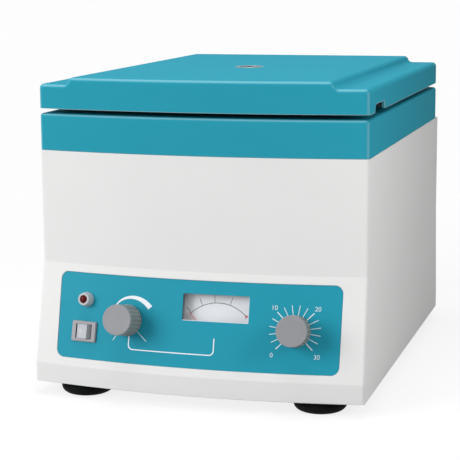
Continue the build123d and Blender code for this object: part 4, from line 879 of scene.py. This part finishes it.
@dataclass
class PanelPrint(SubAssembly):
    """White screen print on the overlay: speed wedge, leader line, timer scale and numerals.

    A control's place is its distance from the middle and down the slope. Radii and widths are
    those of the print round it; angles run counter-clockwise from the right.
    """

    slope: Slope = Slope()
    speed: Point = (-62.3, 47.0)
    timer: Point = (91.3, 48.0)
    ink_low: float = -0.05
    ink_high: float = 0.14
    wedge_origin: float = 140.0
    wedge_start: float = 148.0
    wedge_end: float = 30.5
    wedge_radius: float = 16.9
    wedge_growth: float = 0.0703
    wedge_tip: float = 0.5
    wedge_widening: float = 0.0392
    end_ticks: tuple[tuple[str, float, float], ...] = (("low", 235.0, 23.0), ("high", -42.3, 26.1))
    end_tick_width: float = 0.6
    tick_width: float = 0.62
    heavy_tick_width: float = 0.9
    heavy_step: int = 5
    leader_width: float = 0.95
    leader_x: float = -59.9
    leader_start: float = 61.0
    leader_drop: float = 72.6
    leader_corner: float = 4.0
    leader_end_x: float = 20.0
    leader_end_drop: float = 57.6
    scale_inner: float = 13.9
    scale_outer: float = 22.8
    scale_ticks: int = 16
    scale_start: float = 225.0
    scale_sweep: float = 270.0
    numeral_size: float = 5.8
    numerals: tuple[tuple[str, float, float], ...] = (
        ("0", 71.9, 69.3), ("10", 73.0, 28.1), ("20", 110.4, 28.3), ("30", 111.4, 69.9),
    )

    def build(self) -> None:
        """Prints every mark; every fifth ray of the timer's scale is heavier."""
        self._wedge()
        for name, degrees, outer in self.end_ticks:
            self._ray(f"speed_end_{name}", self.speed, outer, degrees, self.end_tick_width)
        self._leader()
        step = self.scale_sweep / (self.scale_ticks - 1)
        for number in range(self.scale_ticks):
            degrees = self.scale_start - number * step
            width = self.tick_width if number % self.heavy_step else self.heavy_tick_width
            self._ray(f"timer_tick_{number:02d}", self.timer, self.scale_outer, degrees, width)
        for text, x, drop in self.numerals:
            points, faces = lettering(text, self.numeral_size, self.ink_low, self.ink_high)
            self._print(f"timer_numeral_{text}", points + [x, -drop, 0], faces, PALE_INK)

    def _print(self, name: str, points: Array, faces: Faces, ink: Finish) -> None:
        """Lays an inked mesh of (x, minus drop, height) rows on the slope."""
        laid = self.slope.at(points[:, 0], -points[:, 1], points[:, 2])
        self.add(name, (laid, faces), ink, "chassis", "panel_teal")

    def _mark(self, name: str, path: Array, widths: Array, ink: Finish = WHITE_INK) -> None:
        """Lays one inked bar along a path on the slope."""
        self._print(name, *swept_bar(path, widths, self.ink_low, self.ink_high), ink)

    def _ray(self, name: str, control: Point, outer: float, degrees: float, width: float) -> None:
        """Prints a ray of a control's scale, with a round end.

        Its width is even up to the last half width and then follows a half circle,
        width times the root of 1 - t squared.

        Args:
            name: the piece's name.
            control: the control's place.
            outer: outer radius.
            degrees: direction.
            width: width of the ray.
        """
        straight = np.linspace(self.scale_inner, outer - width / 2, 6)
        nose = np.linspace(0, 0.97, 6)[1:]
        radius = np.concatenate([straight, straight[-1] + nose * width / 2])
        widths = width * np.concatenate([np.ones(6), np.sqrt(1 - nose**2)])
        x, drop = control
        self._mark(name, polar(x, -drop, radius, degrees), widths, PALE_INK)

    def _wedge(self) -> None:
        """Arc over the speed knob that opens clockwise: radius and width grow with the turn."""
        degrees = np.linspace(self.wedge_start, self.wedge_end, 60)
        turned = self.wedge_origin - degrees
        x, drop = self.speed
        path = polar(x, -drop, self.wedge_radius + self.wedge_growth * turned, degrees)
        self._mark("speed_wedge", path, self.wedge_tip + self.wedge_widening * turned)

    def _leader(self) -> None:
        """Line from the speed knob to the meter: down, round a corner, across, round and up."""
        r, left, right = self.leader_corner, self.leader_x, self.leader_end_x
        rise = r - self.leader_drop
        quarter = np.linspace(0, math.pi / 2, 12)
        across = np.linspace(left + r, right - r, 42)[1:-1]
        down = np.linspace(-self.leader_start, rise, 8, endpoint=False)
        up = np.linspace(rise, -self.leader_end_drop, 9)[1:]
        legs = (
            (np.full(8, left), down),
            (left + r - r * np.cos(quarter), rise - r * np.sin(quarter)),
            (across, np.full(40, -self.leader_drop)),
            (right - r + r * np.sin(quarter), rise - r * np.cos(quarter)),
            (np.full(8, right), up),
        )
        path = np.vstack([np.stack(leg, axis=1) for leg in legs])
        self._mark("meter_leader", path, np.full(len(path), self.leader_width))


@dataclass
class MeterFace(SubAssembly):
    """Printed scale of the speed meter and the lips of its window."""

    slope: Slope = Slope()
    x: float = 19.75
    drop: float = 31.3
    dial_depth: float = 10.0
    pivot_drop: float = 31.0
    arc_radius: float = 36.0
    half_sweep: float = 45.0
    ray_angles: tuple[float, ...] = (-43.5, -24.0, -5.4, 17.0)
    line: float = 0.48
    ray_length: float = 6.8
    dashes: int = 30
    dash_width: float = 0.8
    mark_start: float = 42.6
    mark_sweep: float = 4.8
    mark_tip: float = 0.4
    mark_width: float = 3.8
    ink: float = 0.05
    dash_ink: float = 0.07
    window_width: float = 60.5
    window_height: float = 23.8
    lip: float = 0.5
    lip_sink: float = 0.5

    def build(self) -> None:
        """Prints the arc, its rays and divisions and the red end mark, and trims the window."""
        arc = np.linspace(-self.half_sweep, self.half_sweep, 80)
        self._bar("dial_arc", self.arc_radius, arc, self.line, BLACK_INK)
        radius = np.linspace(self.arc_radius, self.arc_radius + self.ray_length, 5)
        for number, angle in enumerate(self.ray_angles):
            self._bar(f"dial_ray_{number}", radius, angle, self.line, BLACK_INK)
        self._divisions()
        end = np.linspace(self.mark_start, self.mark_start + self.mark_sweep, 6)
        widths = np.linspace(self.mark_tip, self.mark_width, 6)
        self._bar("dial_red_mark", self.arc_radius, end, widths, RED_INK)
        self._lips()

    def _bar(self, name: str, radius: Any, degrees: Any, width: Any, finish: Finish) -> None:
        """Lays one inked bar on the dial card, its width even or one for each station."""
        path = self._path(radius, degrees)
        bar = swept_bar(path, np.broadcast_to(width, (len(path),)), -self.ink, self.ink)
        self._lay(name, *bar, finish)

    def _path(self, radius: Any, degrees: Any) -> Array:
        """Places on the dial, clockwise from upright over its pivot."""
        return polar(0, -self.pivot_drop, radius, 90 - np.asarray(degrees))

    def _divisions(self) -> None:
        """Fine divisions on the arc: short bars along it, each on half of an even share."""
        share = 2 * self.half_sweep / self.dashes
        pieces, faces = [], []
        for start in -self.half_sweep + np.arange(self.dashes) * share:
            path = self._path(self.arc_radius, np.linspace(start, start + share / 2, 4))
            bar, bar_faces = swept_bar(path, np.full(4, self.dash_width), -self.ink, self.dash_ink)
            faces += (np.array(bar_faces) + len(bar) * len(pieces)).tolist()
            pieces.append(bar)
        self._lay("dial_divisions", np.vstack(pieces), faces, BLACK_INK)

    def _lay(self, name: str, points: Array, faces: Faces, finish: Finish) -> None:
        """Lays a printed mesh on the dial card."""
        points[:, 2] -= self.dial_depth
        origin, right, out = self.slope.frame_at(self.x, self.drop)
        laid = place(points, origin, right, out)
        self.add(name, (laid, faces), finish, "chassis", "meter_white")

    def _lips(self) -> None:
        """Thin inner edges of the window: a painted highlight below and right, painted shade at the
        left.

        Each is a straight bar from corner to corner, half its width inside the opening.
        """
        half = np.array([self.window_width - self.lip, self.window_height - self.lip]) / 2
        share = np.linspace(0, 1, 12)[:, None]
        # The lower and right lips wear a painted highlight, the left one painted shade.
        for name, start, stop, finish in (
            ("bottom", (-1, -1), (1, -1), LIP_HIGHLIGHT),
            ("right", (1, -1), (1, 1), LIP_HIGHLIGHT),
            ("left", (-1, -1), (-1, 1), LIP_SHADE),
        ):
            path = (half * start) * (1 - share) + (half * stop) * share
            low = -self.lip_sink - self.lip
            points, faces = swept_bar(path, np.full(12, self.lip), low, -self.lip_sink)
            laid = self.slope.at(points[:, 0] + self.x, self.drop - points[:, 1], points[:, 2])
            self.add(f"meter_lip_{name}", (laid, faces), finish, "chassis", "grey_plastic")


@dataclass
class RockerMark(SubAssembly):
    """Raised ring on the off end of the power rocker.

    The rocker rests tipped by tilt about a pin that lies pin_depth behind the panel's face. Its
    top is hollow: a point at u along it stands valley + R - root(R squared - u squared) over
    the pin.
    """

    slope: Slope = Slope()
    x: float = -104.3
    drop: float = 60.5
    pin_depth: float = 3.0
    tilt: float = 12.0
    valley: float = 5.3
    hollow_radius: float = 17.9
    mark_offset: float = -2.7
    mark_radius: float = 1.5
    line: float = 0.34
    sunk: float = 0.05
    proud: float = 0.08

    def build(self) -> None:
        """Lays the ring on the tipped top."""
        path = polar(self.mark_offset, 0, self.mark_radius, np.linspace(0, 360, 33))
        points, faces = swept_bar(path, np.full(33, self.line), -self.sunk, self.proud)
        hollow = self.hollow_radius - np.sqrt(self.hollow_radius**2 - points[:, 0] ** 2)
        points[:, 2] += self.valley + hollow
        origin, right, out = self.slope.frame_at(self.x, self.drop)
        right = right / np.linalg.norm(right)
        lean = math.radians(self.tilt)
        tipped_right = right * math.cos(lean) + out * math.sin(lean)
        tipped_out = out * math.cos(lean) - right * math.sin(lean)
        laid = place(points, origin - out * self.pin_depth * MM, tipped_right, tipped_out)
        self.add("rocker_off_ring", (laid, faces), ROCKER_INK, "power_rocker", "rocker_plastic")


@dataclass
class Fasteners(SubAssembly):
    """Cross-recess screws of the hinges, inlet, base plate, liner and bowl, and the seal's mark.

    A head is its radius and height.
    """

    small: Point = (2.4, 1.3)
    large: Point = (3.4, 1.9)
    flat: Point = (2.4, 0.55)
    hinge_span: float = 92.0
    hinge_hole: float = 14.0
    hinge_leaf: float = 2.0
    leaf_half_height: float = 8.0
    inlet_hole: float = 21.5
    inlet_rim: float = 2.5
    lug: Point = (139.8, 27.53, 13.5)
    boss_inset: float = 18.0
    boss_front: float = 142.8
    bowl_circle: float = 24.0
    bowl_floor: float = 1.5
    seal_radii: Point = (127.5, 130.5)
    seal_low: float = 0.1
    seal_high: float = 0.3

    def build(self) -> None:
        """Places every screw on the face that it holds, and the mark that the seal leaves."""
        bowl = self.corners("chamber_bowl")
        centre = (bowl[0] + bowl[1]) / 2
        self._hinge_screws()
        self._case_screws()
        circle = polar(*centre[:2], self.bowl_circle, np.arange(45, 360, 90))
        for number, spot in enumerate(at_height(circle, bowl[0][2] + self.bowl_floor)):
            self._screw(f"bowl_screw_{number + 1}", spot, UP, "chassis", self.large)
        level = self.corners("lid_liner")[0][2]
        lid_corner = self.corners("lid")[1]
        rows = (
            ("front", centre[1] - self.boss_front),
            ("middle", centre[1]),
            ("rear", lid_corner[1] - self.boss_inset),
        )
        for side, hand in HANDS:
            for row, y in rows:
                spot = (side * (lid_corner[0] - self.boss_inset), y, level)
                self._screw(f"liner_screw_{row}_{hand}", spot, DOWN, "lid", self.small)
        turn = np.linspace(0, 360, 97)[:-1]
        inner, outer = (polar(*centre[:2], radius, turn) for radius in self.seal_radii)
        points, faces = flat_ring(outer, inner, level - self.seal_low, level + self.seal_high)
        self.add("liner_seal_track", (points * MM, faces), SEAL_TRACK, "lid", "liner_plastic")

    def _hinge_screws(self) -> None:
        """Two screws in each leaf of the two hinges."""
        frame, lid = self.corners("frame_hinges"), self.corners("lid_hinges")
        face = frame[0][1] + self.hinge_leaf
        low, high = frame[0][2] + self.leaf_half_height, lid[1][2] - self.leaf_half_height
        for side, hand in HANDS:
            for hole in (-1, 1):
                x = side * self.hinge_span + hole * self.hinge_hole
                tag = f"{hand}_{'outer' if side == hole else 'inner'}"
                self._screw(f"frame_hinge_screw_{tag}", (x, face, low), BACK, "chassis", self.small)
                self._screw(f"lid_hinge_screw_{tag}", (x, face, high), BACK, "lid", self.small)

    def _case_screws(self) -> None:
        """Two flat screws beside the inlet and four large ones through the base plate."""
        housing = self.corners("housing")
        middle = self.corners("power_inlet").mean(axis=0)
        for side, hand in HANDS:
            spot = (middle[0] + side * self.inlet_hole, housing[1][1] + self.inlet_rim, middle[2])
            self._screw(f"inlet_screw_{hand}", spot, BACK, "chassis", self.flat)
        x, front, rear = self.lug
        under = self.corners("base_plate")[0][2]
        for side, hand in HANDS:
            for end, y in (("front", housing[0][1] + front), ("rear", housing[1][1] - rear)):
                name = f"base_screw_{end}_{hand}"
                self._screw(name, (side * x, y, under), DOWN, "chassis", self.large)

    def _screw(self, name: str, spot: Point, out: Point, body: str, head: Point) -> None:
        """Sets one screw head on a face, its cross turned off the level.

        Args:
            name: the piece's name.
            spot: where it stands, in millimetres.
            out: the face's outward direction.
            body: the body that carries it.
            head: its radius and height.
        """
        points, faces = screw_head(*head)
        slant = (0.8, 0.0, 0.6) if out == BACK else (0.8, 0.6, 0.0)
        laid = place(points, np.asarray(spot) * MM, slant, out)
        self.add(name, (laid, faces), ZINC_STEEL, body, "zinc_steel", smooth=True)


@dataclass
class Carriers(SubAssembly):
    """Filter cards and wire clips of the slide carriers, and the place numbers on the hub.

    A carrier's own axes stand at its pivot: x away from the rotor's axis, y along the slide and
    z upward. Halves are half lengths along x and y; corners are radii.
    """

    places: int = 4
    pivot_radius: float = 60.0
    pivot_height: float = 222.0
    slide_top: float = -39.8
    card_half: Point = (12.5, 36.0)
    card_corner: float = 1.5
    foot_half: Point = (11.1, 29.1)
    foot_corner: float = 2.1
    card_thickness: float = 0.4
    clip_half: Point = (12.2, 20.0)
    clip_corner: float = 3.0
    clip_radius: float = 0.6
    clip_level: float = -33.15
    hub_top: float = 237.0
    number_radius: float = 16.9
    number_size: float = 4.6
    number_low: float = -0.05
    number_high: float = 0.08

    def build(self) -> None:
        """Adds a card and a clip to each carrier and a number to each place."""
        card = flat_ring(
            rounded_rectangle(self.card_half, self.card_corner),
            rounded_rectangle(self.foot_half, self.foot_corner),
            self.slide_top,
            self.slide_top + self.card_thickness,
        )
        outline = rounded_rectangle(self.clip_half, self.clip_corner)
        clip = tube(at_height(outline, self.clip_level), self.clip_radius, 10, UP)
        axis = self.corners("chamber_bowl").mean(axis=0) * [1, 1, 0]
        for number in range(1, self.places + 1):
            turn = (number - 1) * FULL_TURN / self.places
            outward = np.array([math.cos(turn), math.sin(turn), 0.0])
            sideways = np.array([math.sin(turn), -math.cos(turn), 0.0])
            pivot = axis + outward * self.pivot_radius + [0, 0, self.pivot_height]
            spot = axis + outward * self.number_radius + [0, 0, self.hub_top]
            digit = lettering(str(number), self.number_size, self.number_low, self.number_high)
            body = f"carrier_{number}"
            for name, (points, faces), origin, x_dir, finish, carrier, slot in (
                ("filter_card", card, pivot, outward, FILTER_CARD, body, "funnel_plastic"),
                ("wire_clip", clip, pivot, outward, BRIGHT_STEEL, body, "bright_steel"),
                ("place_number", digit, spot, sideways, BLACK_INK, "rotor", "rotor_aluminium"),
            ):
                laid = place(points, origin * MM, x_dir, UP)
                smooth = finish is BRIGHT_STEEL
                self.add(f"{name}_{number}", (laid, faces), finish, carrier, slot, smooth)


@dataclass
class Studio:
    """Camera, lights, world and floor.

    The camera stands sideways of the middle, standoff ahead of the housing and above the bench,
    in millimetres. Yaw turns it to the left, pitch tilts it down and roll turns it about its
    view, in degrees; its focal length is in pixels of the square frame.

    Fill is the even light from all round and ground the white that is seen behind the object.
    Glow is the share of the floor's white that no shadow can take away, and floor_level the
    light that falls on the rest. From fade_from to fade_to, in metres, the floor turns into pure
    ground. A lamp is its name, place, target and side in metres, and its watts.
    """

    sideways: float = 397.9
    standoff: float = 1198.5
    above: float = 385.0
    yaw: float = 16.71
    pitch: float = 10.08
    roll: float = -0.44
    focal_px: float = 1485.6
    frame_px: int = 460
    sensor_mm: float = 36.0
    clip_m: Point = (0.05, 40.0)
    fill: float = 0.26
    ground: float = 0.985
    glow: float = 0.80
    floor_level: float = 0.95
    floor_half: float = 8.0
    fade_from: float = 0.35
    fade_to: float = 1.1
    sheet: str = "#bcbcbc"
    lamps: tuple[tuple[Any, ...], ...] = (
        ("key", (-1.9, -1.95, 1.2), (0.0, -0.15, 0.15), 1.7, 64.0),
        ("side", (0.62, -0.38, 0.4), (0.15, -0.12, 0.15), 0.3, 1.5),
        ("overhead", (-0.1, 0.05, 2.2), (0.0, 0.0, 0.2), 1.2, 23.5),
        ("rear", (-0.25, 2.4, 0.04), (0.0, 0.2, 0.12), 0.45, 15.0),
    )

    def build(self) -> None:
        """Sets up everything that isn't the object."""
        self._camera()
        self._world()
        self._floor()
        self._lamps()

    def _camera(self) -> None:
        """Camera that looks along +y, turned by yaw, then tilted down by pitch, then rolled."""
        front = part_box("housing")[0][1] / MM
        spot = Vector((self.sideways, front - self.standoff, self.above))
        turned = Matrix.Translation(spot * MM)
        for degrees, axis in ((self.yaw, "Z"), (90 - self.pitch, "X"), (self.roll, "Z")):
            turned = turned @ Matrix.Rotation(math.radians(degrees), 4, axis)
        data = bpy.data.cameras.new("camera")
        data.sensor_width = self.sensor_mm
        data.lens = self.focal_px * self.sensor_mm / self.frame_px
        data.clip_start, data.clip_end = self.clip_m
        camera = bpy.data.objects.new("camera", data)
        camera.matrix_world = turned
        bpy.context.scene.collection.objects.link(camera)
        bpy.context.scene.camera = camera

    def _looked_at(self, tree: Tree) -> Socket:
        """Adds the test for rays that look at the ground rather than carry its light.

        Args:
            tree: nodes of the floor or the world.

        Returns:
            Output that is 1 for camera, gloss and glass rays.
        """
        path = add_node(tree, "LightPath", {})
        seen = path["Is Camera Ray"]
        for kind in ("Is Glossy Ray", "Is Transmission Ray"):
            seen = add_node(tree, "Math", {0: seen, 1: path[kind]}, "Value", operation="MAXIMUM")
        return seen

    def _world(self) -> None:
        """Even light from all round, and a white ground behind for camera, gloss and glass."""
        world = bpy.data.worlds.new("studio")
        bpy.context.scene.world = world
        tree = empty_tree(world)
        white = linear("#ffffff")
        fill, ground = (
            add_node(tree, "Background", {"Color": white, "Strength": level}, "Background")
            for level in (self.fill, self.ground)
        )
        mix = {0: self._looked_at(tree), 1: fill, 2: ground}
        add_node(tree, "OutputWorld", {"Surface": add_node(tree, "MixShader", mix, "Shader")})

    def _floor(self) -> None:
        """Plain pale floor that takes the object's shadow and melts into the ground behind.

        Looked at, it is a glow plus a little paper white, so only that little can be shaded;
        with the distance from the object the glow grows to the ground's own level.
        """
        material = bpy.data.materials.new("white_paper_sweep")
        tree = empty_tree(material)
        where = add_node(tree, "TexCoord", {}, "Object")
        distance = add_node(tree, "VectorMath", {0: where}, "Value", operation="LENGTH")
        fade = {"From Min": self.fade_from, "From Max": self.fade_to, "To Min": 1.0, "To Max": 0.0}
        near = add_node(
            tree, "MapRange", {"Value": distance, **fade}, "Result", interpolation_type="SMOOTHSTEP"
        )
        levels = {"Value": near, "To Min": self.ground, "To Max": self.glow}
        glow = {"Strength": add_node(tree, "MapRange", levels, "Result")}
        share = (self.ground - self.glow) / self.floor_level
        level = add_node(tree, "Math", {0: near, 1: share}, "Value", operation="MULTIPLY")
        tone = dict.fromkeys(("Red", "Green", "Blue"), level)
        paper = {"Color": add_node(tree, "CombineColor", tone, "Color")}
        seen = {
            0: add_node(tree, "Emission", glow, "Emission"),
            1: add_node(tree, "BsdfDiffuse", paper, "BSDF"),
        }
        sheet = {"Color": linear(self.sheet), "Roughness": 0.5}
        mix = {
            0: self._looked_at(tree),
            1: add_node(tree, "BsdfDiffuse", sheet, "BSDF"),
            2: add_node(tree, "AddShader", seen, "Shader"),
        }
        add_node(tree, "OutputMaterial", {"Surface": add_node(tree, "MixShader", mix, "Shader")})
        corners = polar(0, 0, self.floor_half * math.sqrt(2), np.arange(-135, 180, 90))
        floor = mesh_object("floor", (at_height(corners, 0), [[0, 1, 2, 3]]), material)

    def _lamps(self) -> None:
        """Soft boxes: large ahead left, small ahead right, one above and one behind."""
        for name, spot, target, size, watts in self.lamps:
            data = bpy.data.lights.new(name, "AREA")
            data.shape = "SQUARE"
            data.size = size
            data.energy = watts
            lamp = bpy.data.objects.new(name, data)
            lamp.location = spot
            lamp.visible_camera = False
            aim = Vector(target) - Vector(spot)
            lamp.rotation_euler = aim.to_track_quat("-Z", "Y").to_euler()
            bpy.context.scene.collection.objects.link(lamp)


def main() -> None:
    """Builds the instrument's looks in order."""
    logging.basicConfig(level=logging.INFO, format="%(message)s")
    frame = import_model()
    bpy.context.scene.view_settings.view_transform = "Standard"
    slope = Slope()
    Studio().build()
    for part in (
        Castings(nodes=frame["nodes"]),
        PanelPrint(slope=slope),
        MeterFace(slope=slope),
        RockerMark(slope=slope),
        Fasteners(),
        Carriers(),
    ):
        part.build()
        log.info("%s added %d pieces", type(part).__name__, len(part.pieces))


if __name__ == "__main__":
    main()
